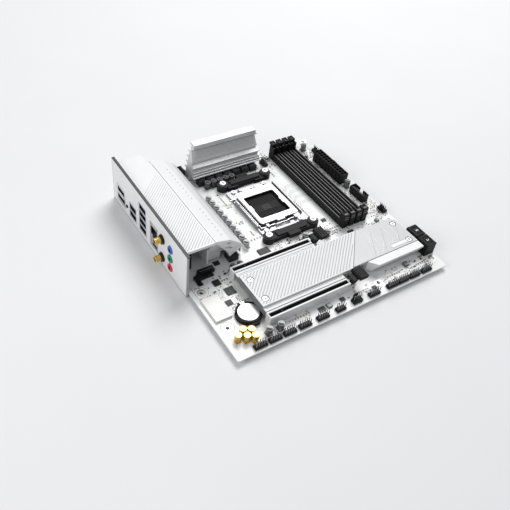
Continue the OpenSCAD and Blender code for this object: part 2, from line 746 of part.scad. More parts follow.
module chipset_heatsink() {
    outline = [[23.2, 12.6], [23.2, 11.2], [27.6, 2], [68, 2], [68, 10.2], [32, 10.2], [32, 12.6]];
    plan = [[163.4, 32], [170.6, 23.2], [229.4, 23.2], [229.4, 68], [186, 68], [186, 36],
        [163.4, 36]];
    screws = [[221.9, 37.2], [222.4, 62.5]];
    color("silver") on_board() difference() {
        intersection() {
            along_x([160, 230], outline);
            linear_extrude(14) polygon(plan);
        }
        for (i = [0:7]) box([188 + i * 4.4, 190 + i * 4.4], [42, 70], [5.6, 11]);
        for (p = screws) rod_z(p[0], p[1], [4, 13], 1.25);
    }
}

module cover_screws() {
    color("silver") on_board() {
        for (p = [[50, 38.2], [50.2, 63.1]]) screw(p[0], p[1], 12.2, 2.7, 1.3, 1.2, 7);
        for (p = [[221.9, 37.2], [222.4, 62.5]]) screw(p[0], p[1], 12, 2.7, 1.2, 1.2, 6);
    }
}

module m2_connector() {
    color("#1c1c1e") on_board() {
        difference() {
            box([146, 154], [39, 61], [0, 4.2]);
            box([144, 151], [40.2, 59.8], [1.4, 3]);
        }
    }
}

module m2_standoff() {
    color("silver") on_board() {
        for (p = [[71, 50, 2.6], [50, 38.2, 10.3], [50.2, 63.1, 10.3]]) difference() {
            rod_z(p[0], p[1], [0, p[2]], 2.6);
            rod_z(p[0], p[1], [0.6, 12], 1.25);
        }
    }
}

// ---- connectors ------------------------------------------------------------------------------

// Power connector with square sockets; n sockets along the row, two rows
module power_shell(x, y, h, n, along_board_y) {
    pitch = 4.2;
    difference() {
        box(x, y, [0, h]);
        for (i = [0:n - 1], j = [-0.5, 0.5]) {
            cx = along_board_y ? (x[0] + x[1]) / 2 + j * pitch
                : (x[0] + x[1]) / 2 + (i - (n - 1) / 2) * pitch;
            cy = along_board_y ? (y[0] + y[1]) / 2 + (i - (n - 1) / 2) * pitch
                : (y[0] + y[1]) / 2 + j * pitch;
            box([cx - 1.7, cx + 1.7], [cy - 1.7, cy + 1.7], [2.4, h + 1]);
        }
    }
}

module atx_power_connector() {
    color("#161618") on_board() {
        power_shell([225.6, 235.4], [150.6, 202], 12.8, 12, true);
        // Latch ramp and side ribs
        along_y([173.6, 179], [[235.4, 4], [236.8, 10.4], [236.8, 12], [235.4, 12]]);
        for (y = [154:6:200]) box([225.1, 225.6], [y, y + 1.2], [0, 10]);
    }
}

module eps_power_connector() {
    color("#161618") on_board() {
        power_shell([53.4, 73.8], [231.8, 241.4], 12.8, 4, false);
        along_x([61, 66.4], [[241.4, 4], [242.8, 10.4], [242.8, 12], [241.4, 12]]);
    }
}

module usb_header() {
    color("#161618") on_board() difference() {
        box([227.6, 235.4], [113.8, 136.4], [0, 9]);
        box([228.8, 234.2], [115, 135.2], [2, 10]);
        box([233, 236], [122.4, 127.6], [3, 10]);
    }
}

module sata_block(y) {
    color("#161618") difference() {
        union() {
            along_y([y, y + 14.8], [[230.8, 0], [243.6, 0], [243.6, 13.4], [242.8, 14.2],
                [231.6, 14.2], [230.8, 13.4]]);
        }
        for (z = [3.6, 10]) difference() {
            box([234, 245], [y + 1.6, y + 13.2], [z - 2, z + 2]);
            box([234, 242.6], [y + 3, y + 12], [z - 0.6, z + 0.6]);
            box([234, 242.6], [y + 3, y + 4.2], [z - 1.6, z + 0.6]);
        }
        // Moulded recess in the top
        difference() {
            box([234.2, 241.4], [y + 2.8, y + 12], [13.6, 15]);
            box([235, 240.6], [y + 3.6, y + 11.2], [13, 14]);
        }
    }
}

module sata_ports() {
    on_board() {
        sata_block(19.8);
        sata_block(35.8);
    }
}

// Four-pin fan header with its polarising wall
module fan_header(x, y, turned) {
    translate([x, y, 0]) rotate([0, 0, turned]) {
        box([-5.1, 5.1], [-2.9, 2.9], [0, 3]);
        box([-3.6, 1.6], [1.9, 2.9], [3, 8.6]);
    }
}

fan_spots = [[168.4, 219.4, 90], [240.2, 95, 90], [131, 5.4, 0], [238.6, 213, 90]];

module fan_headers() {
    color("#1c1c1e") on_board() for (p = fan_spots) fan_header(p[0], p[1], p[2]);
}

// Pin headers along the lower edge: centre and pins in each row
header_spots = [[24.7, 5], [39.7, 5], [55, 5], [71.2, 5], [90.9, 5], [111.1, 4], [151.3, 5],
    [174.1, 5], [187.9, 5], [202.6, 5], [218.4, 5]];
header_y = 4.6;

module header_bases() {
    color("#1c1c1e") on_board() {
        for (p = header_spots) {
            w = p[1] * 2.54;
            box([p[0] - w / 2, p[0] + w / 2], [header_y - 2.54, header_y + 2.54], [0, 2.5]);
        }
    }
}

// Square pin from z0 to z1
module pin(x, y, z0, z1) {
    box([x - 0.32, x + 0.32], [y - 0.32, y + 0.32], [z0, z1]);
}

module header_pins() {
    color("goldenrod") on_board() {
        for (p = header_spots) for (i = [0:p[1] - 1], j = [-1, 1]) {
            x = p[0] + (i - (p[1] - 1) / 2) * 2.54;
            pin(x, header_y + j * 1.27, 2.5, 8.6);
            pin(x, header_y + j * 1.27, -board_t - 1.6, -board_t);
        }
        for (i = [0:9], j = [-1, 1]) pin(231.5 + j, 116.1 + i * 2, 2, 7.4);
        for (p = fan_spots) translate([p[0], p[1], 0]) rotate([0, 0, p[2]])
            for (i = [0:3]) pin(-3.81 + i * 2.54, 0, 3, 8.4);
        // Solder tails of the power connectors and slots
        for (i = [0:11], j = [-1, 1])
            pin(230.5 + j * 2.1, 153.2 + i * 4.2, -board_t - 1.8, -board_t);
        for (i = [0:3], j = [-1, 1])
            pin(57.3 + i * 4.2, 236.6 + j * 2.1, -board_t - 1.8, -board_t);
    }
}

// ---- small parts -----------------------------------------------------------------------------

battery_spot = [33.4, 38.1];

module battery_holder() {
    bx = battery_spot[0];
    by = battery_spot[1];
    color("#1a1a1c") on_board() difference() {
        union() {
            rod_z(bx, by, [0, 5], 12);
            box([bx - 4, bx + 4], [by - 13.6, by - 9], [0, 4]);
            box([bx - 3, bx + 3], [by + 9, by + 13.4], [0, 4]);
        }
        rod_z(bx, by, [1.8, 6], 10.3);
        box([bx + 5, bx + 14], [by - 4.5, by + 4.5], [3, 6]);
        box([bx - 14, bx - 5], [by - 4.5, by + 4.5], [3, 6]);
    }
}

module battery() {
    color("silver") on_board() {
        rod_z(battery_spot[0], battery_spot[1], [1.8, 2.4], 8.9);
        rod_z(battery_spot[0], battery_spot[1], [2.4, 5], 10);
    }
}

module audio_capacitors() {
    color("goldenrod") on_board()
        for (p = [[17.7, 22.6], [24.4, 19.3], [17.6, 15.2], [24, 12.2], [10.9, 18.8]])
            can_capacitor(p[0], p[1], 3.15, 8);
}

module audio_shield() {
    color("ivory") on_board() difference() {
        round_box([4, 20.5], [42.8, 71], [0, 2.5], 1);
        box([4.4, 20.1], [43.2, 70.6], [-1, 2.1]);
    }
}

module bulk_capacitors() {
    color("#6d6f73") on_board()
        for (p = [[38.4, 12.6, 7.5], [50.4, 12.3, 7.5], [48.6, 90, 8], [56.4, 90, 8],
            [230.5, 144.2, 8.6], [227.2, 223.4, 8], [137, 95, 7], [221.6, 209.4, 3.4],
            [160.6, 90.2, 6.4]])
            can_capacitor(p[0], p[1], p[2] > 4 ? 3.2 : 1.9, p[2]);
}

// Flat chips: centre, width, depth and height
chips = [[198, 50, 24, 24, 1.7], [23.4, 97.4, 15, 8, 1.2], [28, 84, 7, 7, 0.9],
    [34, 70, 9, 9, 1], [14, 90, 5, 5, 0.9], [90, 97, 12, 12, 1.3], [172, 110, 5, 4, 1],
    [220, 100, 6, 6, 1], [26, 58, 6, 6, 1], [96, 12.4, 7, 5, 1.1], [120, 13, 5, 4, 1.1],
    [219, 142, 4, 6, 1.1], [157, 10.6, 4.4, 3.6, 1.2], [61, 51, 4, 6, 0.9]];

module control_chips() {
    color("#1d1d20") on_board() for (c = chips)
        box([c[0] - c[2] / 2, c[0] + c[2] / 2], [c[1] - c[3] / 2, c[1] + c[3] / 2], [0, c[4]]);
}

// Rows of small resistors and capacitors: start, step and number
part_rows = [[84, 122, 0, 3.2, 6], [88, 118, 3.4, 0, 4], [162, 122, 0, 3.2, 9],
    [168, 96, 2.8, 0, 5], [219, 156, 0, 3.6, 10], [222.5, 186, 0, 3.2, 3], [62, 14.4, 3, 0, 8],
    [30, 54, 2.6, 0, 6], [140, 12.6, 2.6, 0, 5], [178, 15, 3, 0, 6], [93, 190, 0, -3, 6],
    [167, 196, 0, 3, 5], [34, 84, 2.6, 0, 3], [216, 14.6, 2.6, 0, 4]];

module small_parts() {
    color("#8a8578") on_board() for (r = part_rows) for (i = [0:r[4] - 1])
        translate([r[0] + i * r[2], r[1] + i * r[3], 0]) box([-0.6, 0.6], [-1, 1], [0, 0.8]);
}

// ---- node list -------------------------------------------------------------------------------

pcb();
io_shield();
io_gasket();
io_cover();
vrm_heatsink_rear();
vrm_heatsink_top();
thermal_pads();
power_stages();
vrm_chokes();
vrm_capacitors();
socket_body();
socket_contacts();
socket_frame();
socket_screws();
load_plate();
load_lever();
cooler_bracket(1);  // cooler_bracket_top
cooler_bracket(-1);  // cooler_bracket_bottom
cooler_screws();
cooler_backplate();
memory_slot(1);  // memory_slot_1
memory_slot(2);  // memory_slot_2
memory_slot(3);  // memory_slot_3
memory_slot(4);  // memory_slot_4
memory_latch(1);  // memory_latch_1
memory_latch(2);  // memory_latch_2
memory_latch(3);  // memory_latch_3
memory_latch(4);  // memory_latch_4
card_slot(card_slot_y + card_slot_pitch);  // card_slot_top
card_slot(card_slot_y);  // card_slot_bottom
card_latch(card_slot_y + card_slot_pitch);  // card_latch_top
card_latch(card_slot_y);  // card_latch_bottom
card_slot_inserts();
m2_cover();
chipset_cover();
chipset_heatsink();
m2_connector();
m2_standoff();
cover_screws();
atx_power_connector();
eps_power_connector();
usb_header();
sata_ports();
fan_headers();
header_bases();
header_pins();
battery_holder();
battery();
audio_capacitors();
audio_shield();
bulk_capacitors();
control_chips();
small_parts();
usb_ports();
network_port();
display_ports();
audio_jacks();
antenna_jacks();
flash_button();
flash_switch();
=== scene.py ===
"""Looks for the Micro-ATX motherboard: procedural finishes and surface detail on the CAD parts."""
import math
import random

import bpy
from mathutils import Matrix, Vector
from mathutils.bvhtree import BVHTree


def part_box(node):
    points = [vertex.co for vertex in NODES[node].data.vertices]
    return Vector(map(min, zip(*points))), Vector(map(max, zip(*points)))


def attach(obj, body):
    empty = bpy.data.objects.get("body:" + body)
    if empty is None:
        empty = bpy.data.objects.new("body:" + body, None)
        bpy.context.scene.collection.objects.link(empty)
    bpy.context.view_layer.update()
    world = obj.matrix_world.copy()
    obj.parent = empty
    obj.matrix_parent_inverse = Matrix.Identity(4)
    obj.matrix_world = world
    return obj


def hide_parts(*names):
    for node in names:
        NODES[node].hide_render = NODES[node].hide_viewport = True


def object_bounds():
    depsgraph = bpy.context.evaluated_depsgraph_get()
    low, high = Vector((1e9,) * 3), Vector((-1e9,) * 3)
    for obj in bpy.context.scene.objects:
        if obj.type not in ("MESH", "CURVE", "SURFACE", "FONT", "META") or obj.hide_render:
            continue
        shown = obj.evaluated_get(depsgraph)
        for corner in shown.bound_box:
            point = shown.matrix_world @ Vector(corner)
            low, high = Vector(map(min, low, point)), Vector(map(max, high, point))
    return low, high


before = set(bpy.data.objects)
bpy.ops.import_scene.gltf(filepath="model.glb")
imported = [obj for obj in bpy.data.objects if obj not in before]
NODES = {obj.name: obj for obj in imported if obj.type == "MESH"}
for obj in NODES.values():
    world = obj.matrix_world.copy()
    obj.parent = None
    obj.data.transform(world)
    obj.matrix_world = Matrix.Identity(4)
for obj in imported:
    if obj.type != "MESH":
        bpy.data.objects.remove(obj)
CAD_LO, CAD_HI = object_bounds()
MM = 0.001
rng = random.Random(41)

# Board millimetres
DATUM_X, DATUM_Y = 10.16, 80.01
BOARD_T = 1.6
BOARD_EDGE = 242.3
SOCKET_X, SOCKET_Y = 128.3, 153
CARD_SLOT_Y = (21.9, 82.86)
MEMORY_X = [184.8 + 8.4 * n for n in range(4)]
TRAY_HOLES = [(DATUM_X, DATUM_Y), (10.16, 34.29), (165.1, 13.97), (237.49, 13.97),
              (165.1, 80.01), (237.49, 80.01), (33.02, 237.49), (165.1, 237.49),
              (237.49, 237.49)]

# How many of each are tried at random places
FREE_TRACES, FREE_VIAS, UNDER_PARTS = 130, 500, 260


# ---- places ------------------------------------------------------------------------------------

def at(x, y, z):
    """Board millimetres (rear edge x 0, header edge y 0, board top z 0) in the part's frame."""
    return Vector(((x - DATUM_X) * MM, (y - DATUM_Y) * MM, (z + BOARD_T) * MM))


def back(p):
    """The part's frame in board millimetres."""
    return (p[0] / MM + DATUM_X, p[1] / MM + DATUM_Y, p[2] / MM - BOARD_T)


def islands(node):
    """Box of each separate solid in a CAD node, in board millimetres."""
    mesh = NODES[node].data
    key = [tuple(round(c * 1e5) for c in v.co) for v in mesh.vertices]
    parent = {k: k for k in key}

    def root(k):
        while parent[k] != k:
            parent[k] = parent[parent[k]]
            k = parent[k]
        return k

    for p in mesh.polygons:
        a = root(key[p.vertices[0]])
        for i in p.vertices[1:]:
            parent[root(key[i])] = a
            a = root(a)
    groups = {}
    for v, k in zip(mesh.vertices, key):
        groups.setdefault(root(k), []).append(back(v.co))
    boxes = [tuple((min(c), max(c)) for c in zip(*g)) for g in groups.values()]
    return sorted(boxes)


# ---- mesh building -----------------------------------------------------------------------------

class Batch:
    """Collects solids given in board millimetres into one mesh."""

    def __init__(self):
        self.v, self.f = [], []

    def add(self, points, faces):
        n = len(self.v)
        self.v += [at(*p) for p in points]
        self.f += [[n + i for i in f] for f in faces]

    def prism(self, low, high):
        """Solid between two outlines with the same number of points."""
        n = len(low)
        faces = [list(range(n))[::-1], list(range(n, 2 * n))]
        faces += [[i, (i + 1) % n, n + (i + 1) % n, n + i] for i in range(n)]
        self.add(list(low) + list(high), faces)

    def box(self, x, y, z, trim=0.0):
        t = trim
        low = [(x[0], y[0], z[0]), (x[1], y[0], z[0]), (x[1], y[1], z[0]), (x[0], y[1], z[0])]
        high = [(x[0] + t, y[0] + t, z[1]), (x[1] - t, y[0] + t, z[1]),
                (x[1] - t, y[1] - t, z[1]), (x[0] + t, y[1] - t, z[1])]
        self.prism(low, high)

    def bar(self, p, q, w, z, h):
        """Flat bar from p to q in plan, on height z."""
        dx, dy = q[0] - p[0], q[1] - p[1]
        d = math.hypot(dx, dy) or 1
        ox, oy = -dy / d * w / 2, dx / d * w / 2
        plan = [(p[0] - ox, p[1] - oy), (q[0] - ox, q[1] - oy), (q[0] + ox, q[1] + oy),
                (p[0] + ox, p[1] + oy)]
        self.prism([(a, b, z) for a, b in plan], [(a, b, z + h) for a, b in plan])

    def lathe(self, centre, axis, profile, n=24, start=0.0, turn=2 * math.pi):
        """Turns (distance along axis, radius) round an axis; a part turn gets flat ends."""
        u = {"x": (0, 1, 2), "z": (2, 0, 1)}[axis]
        full = turn > 6.28
        rings = n if full else n + 1
        points = []
        for k in range(rings):
            a = start + turn * k / n
            for d, r in profile:
                p = [0, 0, 0]
                p[u[0]], p[u[1]], p[u[2]] = d, r * math.cos(a), r * math.sin(a)
                points.append(tuple(p[i] + centre[i] for i in range(3)))
        m = len(profile)
        faces = []
        for k in range(n):
            j = (k + 1) % rings
            for i in range(m):
                e = (i + 1) % m
                faces.append([k * m + i, j * m + i, j * m + e, k * m + e])
        if not full:
            faces += [list(range(m)), [n * m + i for i in range(m)][::-1]]
        self.add(points, faces)

    def make(self, name, material, body="board", slot=None, smooth=False):
        mesh = bpy.data.meshes.new(name)
        mesh.from_pydata(self.v, [], self.f)
        mesh.validate()
        mesh.update()
        if smooth:
            mesh.shade_smooth()
        o = bpy.data.objects.new(name, mesh)
        bpy.context.scene.collection.objects.link(o)
        o.data.materials.append(material)
        if smooth:
            mesh.set_sharp_from_angle(angle=math.radians(35))
        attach(o, body)
        return o


def ring(r0, r1, z0, z1):
    """Profile of a flat ring."""
    return [(z0, r0), (z0, r1), (z1, r1), (z1, r0)]


def clipped(plan, angle, pitch, holes=()):
    """Lines at one angle across a convex plan, left out inside round holes (x, y, r)."""
    c, s = math.cos(angle), math.sin(angle)
    along = lambda p: p[0] * c + p[1] * s
    across = lambda p: -p[0] * s + p[1] * c
    lo, hi = min(map(across, plan)), max(map(across, plan))
    lines = []
    for k in range(int(math.ceil(lo / pitch)), int(hi / pitch) + 1):
        w = k * pitch
        cuts = []
        for a, b in zip(plan, plan[1:] + plan[:1]):
            wa, wb = across(a), across(b)
            if (wa - w) * (wb - w) < 0:
                t = (w - wa) / (wb - wa)
                cuts.append(along(a) + t * (along(b) - along(a)))
        if len(cuts) < 2:
            continue
        spans = [(min(cuts), max(cuts))]
        for hx, hy, r in holes:
            d = across((hx, hy)) - w
            if abs(d) < r:
                h = math.sqrt(r * r - d * d)
                m = along((hx, hy))
                spans = [q for a, b in spans for q in ((a, min(b, m - h)), (max(a, m + h), b))
                         if q[1] - q[0] > 0.4]
        lines += [((a * c - w * s, a * s + w * c), (b * c - w * s, b * s + w * c))
                  for a, b in spans]
    return lines


# ---- materials ---------------------------------------------------------------------------------

class Graph:
    """Short way to wire a material's nodes."""

    def __init__(self, name, rough, metal):
        self.m = bpy.data.materials.new(name)
        self.m.use_nodes = True
        self.t = self.m.node_tree
        self.p = self.t.nodes["Principled BSDF"]
        self.p.inputs["Roughness"].default_value = rough
        self.p.inputs["Metallic"].default_value = metal
        self.co = self.new("ShaderNodeTexCoord").outputs["Object"]

    def new(self, kind, **values):
        n = self.t.nodes.new(kind)
        for k, v in values.items():
            if k in n.inputs:
                n.inputs[k].default_value = v
            else:
                setattr(n, k, v)
        return n

    def link(self, a, b):
        self.t.links.new(a, b)

    def noise(self, scale, detail=3.0, stretch=(1, 1, 1)):
        mp = self.new("ShaderNodeMapping")
        mp.inputs["Scale"].default_value = stretch
        self.link(self.co, mp.inputs["Vector"])
        n = self.new("ShaderNodeTexNoise", Scale=scale, Detail=detail)
        self.link(mp.outputs[0], n.inputs["Vector"])
        return n.outputs[0]

    def range(self, value, low, high, a=0.3, b=0.7):
        r = self.new("ShaderNodeMapRange")
        for k, v in zip((1, 2, 3, 4), (a, b, low, high)):
            r.inputs[k].default_value = v
        self.link(value, r.inputs[0])
        return r.outputs[0]

    def blend(self, value, first, second):
        mix = self.new("ShaderNodeMix", data_type="RGBA")
        for i, c in ((6, first), (7, second)):
            if isinstance(c, tuple):
                mix.inputs[i].default_value = (*c, 1)
            else:
                self.link(c, mix.inputs[i])
        self.link(value, mix.inputs[0])
        return mix.outputs[2]

    def bump(self, height, strength, distance):
        b = self.new("ShaderNodeBump", Strength=strength, Distance=distance)
        self.link(height, b.inputs["Height"])
        self.link(b.outputs[0], self.p.inputs["Normal"])


def shade(c, k):
    """A colour made lighter or darker."""
    return tuple(min(1.0, x * k) for x in c)


def surface(name, color, rough, metal=0.0, grain=2600, tone=0.05, bump=0.12,
            stretch=(1, 1, 1), coat=0.0, spec=0.5):
    """Finish with a slow change of tone, a fine grain in its gloss and a fine relief."""
    g = Graph(name, rough, metal)
    slow = g.noise(38, 3)
    fine = g.noise(grain, 4, stretch)
    g.link(g.blend(g.range(slow, 0, 1), shade(color, 1 - tone), shade(color, 1 + tone)),
           g.p.inputs["Base Color"])
    g.link(g.range(fine, rough * 0.82, min(1, rough * 1.2)), g.p.inputs["Roughness"])
    g.bump(fine, bump, 0.00012)
    g.p.inputs["Coat Weight"].default_value = coat
    g.p.inputs["Coat Roughness"].default_value = 0.2
    g.p.inputs["Specular IOR Level"].default_value = spec
    return g.m


def laminate():
    """White lacquer over a woven board, with the copper areas showing faintly."""
    g = Graph("laminate", 0.36, 0.0)
    pour = g.new("ShaderNodeTexVoronoi", Scale=42, distance="CHEBYCHEV")
    g.link(g.co, pour.inputs["Vector"])
    patch = g.range(pour.outputs[1], 0, 1, 0.25, 0.3)
    tint = g.blend(patch, (0.83, 0.84, 0.83), (0.885, 0.89, 0.88))
    cloud = g.range(g.noise(30, 4), 0, 0.5)
    g.link(g.blend(cloud, tint, (0.85, 0.85, 0.83)), g.p.inputs["Base Color"])
    weave = g.noise(1500, 2, (1, 1, 0.2))
    g.link(g.range(weave, 0.3, 0.44), g.p.inputs["Roughness"])
    g.bump(weave, 0.05, 0.00008)
    g.p.inputs["Coat Weight"].default_value = 0.15
    return g.m


def two_tone(name, axis, edge, low, high, rough, metal=0.0):
    """Two tones that change at one coordinate, in metres, along an axis of the part."""
    g = Graph(name, rough, metal)
    sep = g.new("ShaderNodeSeparateXYZ")
    g.link(g.co, sep.inputs[0])
    step = g.range(sep.outputs[axis], 0, 1, edge - 0.0001, edge + 0.0001)
    fine = g.noise(2400, 4)
    tint = g.blend(step, low, high)
    g.link(g.blend(g.range(fine, 0, 0.08), tint, (0.5, 0.5, 0.5)), g.p.inputs["Base Color"])
    g.bump(fine, 0.15, 0.0001)
    return g.m


def painted_with_shaded_ends():
    """White paint whose faces towards the rear of the board are painted dark grey, as painted shade.
    """
    g = Graph("cover_paint_shaded_ends", 0.42, 0.0)
    sep = g.new("ShaderNodeSeparateXYZ")
    g.link(g.new("ShaderNodeNewGeometry").outputs["True Normal"], sep.inputs[0])
    # Faces pointing to the rear of the board get painted shade: dark grey instead of white.
    shaded_end = g.range(sep.outputs[0], 1, 0, -0.8, -0.5)
    slow = g.range(g.noise(90, 3), 0, 1)
    g.link(g.blend(shaded_end, g.blend(slow, (0.72, 0.725, 0.73), (0.76, 0.765, 0.77)),
                   g.blend(slow, (0.16, 0.165, 0.17), (0.27, 0.275, 0.28))),
           g.p.inputs["Base Color"])
    fine = g.noise(3800, 4)
    g.link(g.range(fine, 0.34, 0.5), g.p.inputs["Roughness"])
    g.bump(fine, 0.08, 0.0001)
    return g.m


def contact_plate():
    """Dark moulded plate with a fine grid of pale flecks."""
    g = Graph("contact_plate", 0.55, 0.0)
    dots = g.new("ShaderNodeTexVoronoi", Scale=1060, Randomness=0.0)
    g.link(g.co, dots.inputs["Vector"])
    near = g.range(dots.outputs[0], 1, 0, 0.2, 0.36)
    g.link(g.blend(near, (0.011, 0.011, 0.012), (0.018, 0.017, 0.016)), g.p.inputs["Base Color"])
    g.bump(g.noise(2200, 2), 0.05, 0.0001)
    g.p.inputs["Specular IOR Level"].default_value = 0.2
    return g.m


M = {
    "board": laminate(),
    "white": surface("white_paint", (0.85, 0.855, 0.86), 0.42, grain=3800, tone=0.02, bump=0.08),
    # White paint with painted shade on the faces towards the rear of the board.
    "cover": painted_with_shaded_ends(),
    "rim": two_tone("rim", 2, 0.0452, (0.42, 0.42, 0.43), (0.035, 0.035, 0.038), 0.5),
    "alloy": surface("brushed_alloy", (0.70, 0.705, 0.71), 0.42, 0.4, 1600, 0.03, 0.06,
                     (0.03, 1, 1)),
    "plate": surface("satin_alloy", (0.53, 0.535, 0.54), 0.5, 0.2, 4200, 0.02, 0.04),
    "stripe": surface("stripe_paint", (0.38, 0.385, 0.39), 0.45, 0.1, 3000, 0.05, 0.05),
    "soft_stripe": surface("soft_stripe_paint", (0.50, 0.505, 0.51), 0.45, 0.1, 3000, 0.05, 0.05),
    "hatch": surface("hatch_cut", (0.34, 0.345, 0.35), 0.4, 0.4, 3000, 0.05, 0.05),
    "pad": surface("thermal_pad", (0.50, 0.54, 0.58), 0.85, bump=0.2),
    "black": surface("moulded_black", (0.007, 0.007, 0.008), 0.5, grain=3200, tone=0.15,
                     bump=0.06, spec=0.18),
    "latch": surface("latch_black", (0.011, 0.011, 0.012), 0.5, grain=2800, tone=0.15,
                     bump=0.08, spec=0.2),
    "ferrite": surface("ferrite", (0.022, 0.022, 0.024), 0.6, 0.1, 2200, 0.2, 0.2, spec=0.3),
    "chip": surface("chip_black", (0.012, 0.012, 0.013), 0.4, grain=5200, tone=0.1, bump=0.05,
                    spec=0.3),
    "gloss": surface("socket_black", (0.011, 0.011, 0.012), 0.4, grain=1800, tone=0.1,
                     bump=0.03, coat=0.04, spec=0.2),
    "steel": surface("satin_steel", (0.87, 0.87, 0.88), 0.42, 0.55, 3600, 0.02, 0.02),
    "frame": surface("frame_steel", (0.34, 0.34, 0.35), 0.36, 0.75, 3600, 0.03, 0.02),
    "wire": surface("drawn_wire", (0.62, 0.62, 0.63), 0.26, 1.0, 1500, 0.05, 0.03, (1, 0.04, 1)),
    "screw": surface("screw_plate", (0.62, 0.62, 0.63), 0.35, 0.6, 2600, 0.05, 0.03),
    "can": two_tone("vrm_can", 1, 0.1100, (0.40, 0.405, 0.41), (0.06, 0.06, 0.063), 0.45, 0.3),
    "can_grey": surface("can_grey", (0.17, 0.172, 0.176), 0.4, 0.6, 1800, 0.08, 0.04),
    "can_gold": surface("can_gold", (0.62, 0.43, 0.13), 0.36, 0.8, 1800, 0.06, 0.04),
    "can_top": surface("can_top", (0.78, 0.76, 0.70), 0.45, 0.1, 2200, 0.03, 0.03),
    "can_rim": surface("can_rim", (0.46, 0.46, 0.47), 0.45, 0.3, 2200, 0.04, 0.03),
    "mark": surface("dark_print", (0.026, 0.026, 0.028), 0.5, grain=3000, tone=0.12, bump=0.03,
                    spec=0.3),
    "gold": surface("gold_plate", (0.86, 0.62, 0.20), 0.3, 0.95, 2200, 0.05, 0.04),
    # Near-black contacts: painted shade of the grooves and the socket window, not the metal's own
    # colour.
    "shaded_contact": surface("contact_tip_painted_shade", (0.026, 0.025, 0.023), 0.6, 0.0, 2200, 0.1, 0.03,
                         spec=0.2),
    "cell": surface("cell_steel", (0.50, 0.50, 0.51), 0.36, 0.7, 3200, 0.04, 0.02),
    "pin": surface("pin_grey", (0.26, 0.26, 0.27), 0.4, 0.7, 2600, 0.06, 0.04),
    "pinfield": contact_plate(),
    "backplate": surface("backplate_paint", (0.03, 0.03, 0.032), 0.5, 0.3, 2600, 0.1, 0.1),
    "slot_white": surface("slot_white", (0.83, 0.83, 0.83), 0.42, grain=2600, tone=0.02,
                          bump=0.06),
    "ivory": surface("shield_ivory", (0.70, 0.69, 0.665), 0.42, 0.1, 2600, 0.02, 0.04),
    "ceramic": surface("ceramic_tan", (0.25, 0.20, 0.13), 0.55, grain=4200, tone=0.2, bump=0.1),
    "solder": surface("solder", (0.58, 0.58, 0.59), 0.35, 0.9, 3000, 0.08, 0.1),
    "trace": surface("trace_grey", (0.66, 0.67, 0.66), 0.42, grain=2600, tone=0.05, bump=0.03),
    "silk": surface("silk_grey", (0.24, 0.24, 0.25), 0.6, grain=3200, tone=0.1, bump=0.03),
    "port": surface("port_steel", (0.60, 0.60, 0.62), 0.32, 0.95, 1500, 0.05, 0.04,
                    (0.08, 1, 1)),
    "blue": surface("tongue_blue", (0.02, 0.035, 0.20), 0.4, grain=2600, tone=0.08),
    "ring_blue": surface("ring_blue", (0.06, 0.14, 0.50), 0.4, grain=2600, tone=0.08),
    "ring_green": surface("ring_green", (0.01, 0.27, 0.12), 0.4, grain=2600, tone=0.08),
    "ring_red": surface("ring_red", (0.68, 0.04, 0.09), 0.4, grain=2600, tone=0.08),
    "lamp_green": surface("lamp_green", (0.10, 0.42, 0.16), 0.2, grain=1800, tone=0.1, coat=0.5),
    "lamp_amber": surface("lamp_amber", (0.70, 0.36, 0.06), 0.2, grain=1800, tone=0.1, coat=0.5),
    "label": surface("label_white", (0.90, 0.90, 0.90), 0.5, grain=2600, tone=0.02, bump=0.03),
    # Grey lighter than the black housings: painted highlight on the lit rail tops.
    "lit_rib": surface("rib_grey_painted_highlight", (0.16, 0.16, 0.165), 0.45, grain=2600, tone=0.1, bump=0.04),
    "grip": surface("grip_grey", (0.035, 0.035, 0.037), 0.5, grain=2600, tone=0.1, bump=0.04),
}

# CAD node: material, softened edge in millimetres
LOOKS = {
    "pcb": ("board", 0.12), "io_shield": ("white", 0.12), "io_gasket": ("rim", 0.15),
    "io_cover": ("white", 0.35), "vrm_heatsink_rear": ("white", 0.3),
    "vrm_heatsink_top": ("alloy", 0.15), "thermal_pads": ("pad", 0.1),
    "power_stages": ("chip", 0.1), "vrm_chokes": ("ferrite", 0.25), "vrm_capacitors": ("can", 0.2),
    "socket_body": ("gloss", 0.2), "socket_contacts": ("pinfield", 0.05),
    "socket_frame": ("frame", 0.15), "socket_screws": ("screw", 0.15),
    "load_plate": ("steel", 0.2), "load_lever": ("wire", 0), "cooler_bracket_top": ("latch", 0.5),
    "cooler_bracket_bottom": ("latch", 0.5), "cooler_screws": ("screw", 0.25),
    "cooler_backplate": ("backplate", 0.3), "card_slot_top": ("slot_white", 0.15),
    "card_slot_bottom": ("slot_white", 0.15), "card_latch_top": ("latch", 0.3),
    "card_latch_bottom": ("latch", 0.3), "card_slot_inserts": ("black", 0.1),
    "m2_cover": ("cover", 0.3), "chipset_cover": ("plate", 0.3),
    "chipset_heatsink": ("white", 0.3), "m2_connector": ("black", 0.15),
    "m2_standoff": ("screw", 0.15), "cover_screws": ("screw", 0.2),
    "atx_power_connector": ("black", 0.2), "eps_power_connector": ("black", 0.2),
    "usb_header": ("black", 0.15), "sata_ports": ("black", 0.3), "fan_headers": ("black", 0.15),
    "header_bases": ("black", 0.2), "header_pins": ("pin", 0.1),
    "battery_holder": ("black", 0.3), "battery": ("cell", 0.35),
    "audio_capacitors": ("can_gold", 0.2), "audio_shield": ("ivory", 0.3),
    "bulk_capacitors": ("can_grey", 0.2), "control_chips": ("chip", 0.1),
    "small_parts": ("ceramic", 0.08), "usb_ports": ("port", 0.1), "network_port": ("port", 0.1),
    "display_ports": ("port", 0.1), "audio_jacks": ("black", 0.2), "antenna_jacks": ("gold", 0.15),
    "flash_button": ("latch", 0.15), "flash_switch": ("black", 0.15),
}
for i in range(1, 5):
    LOOKS[f"memory_slot_{i}"] = ("black", 0.15)
    LOOKS[f"memory_latch_{i}"] = ("latch", 0.3)


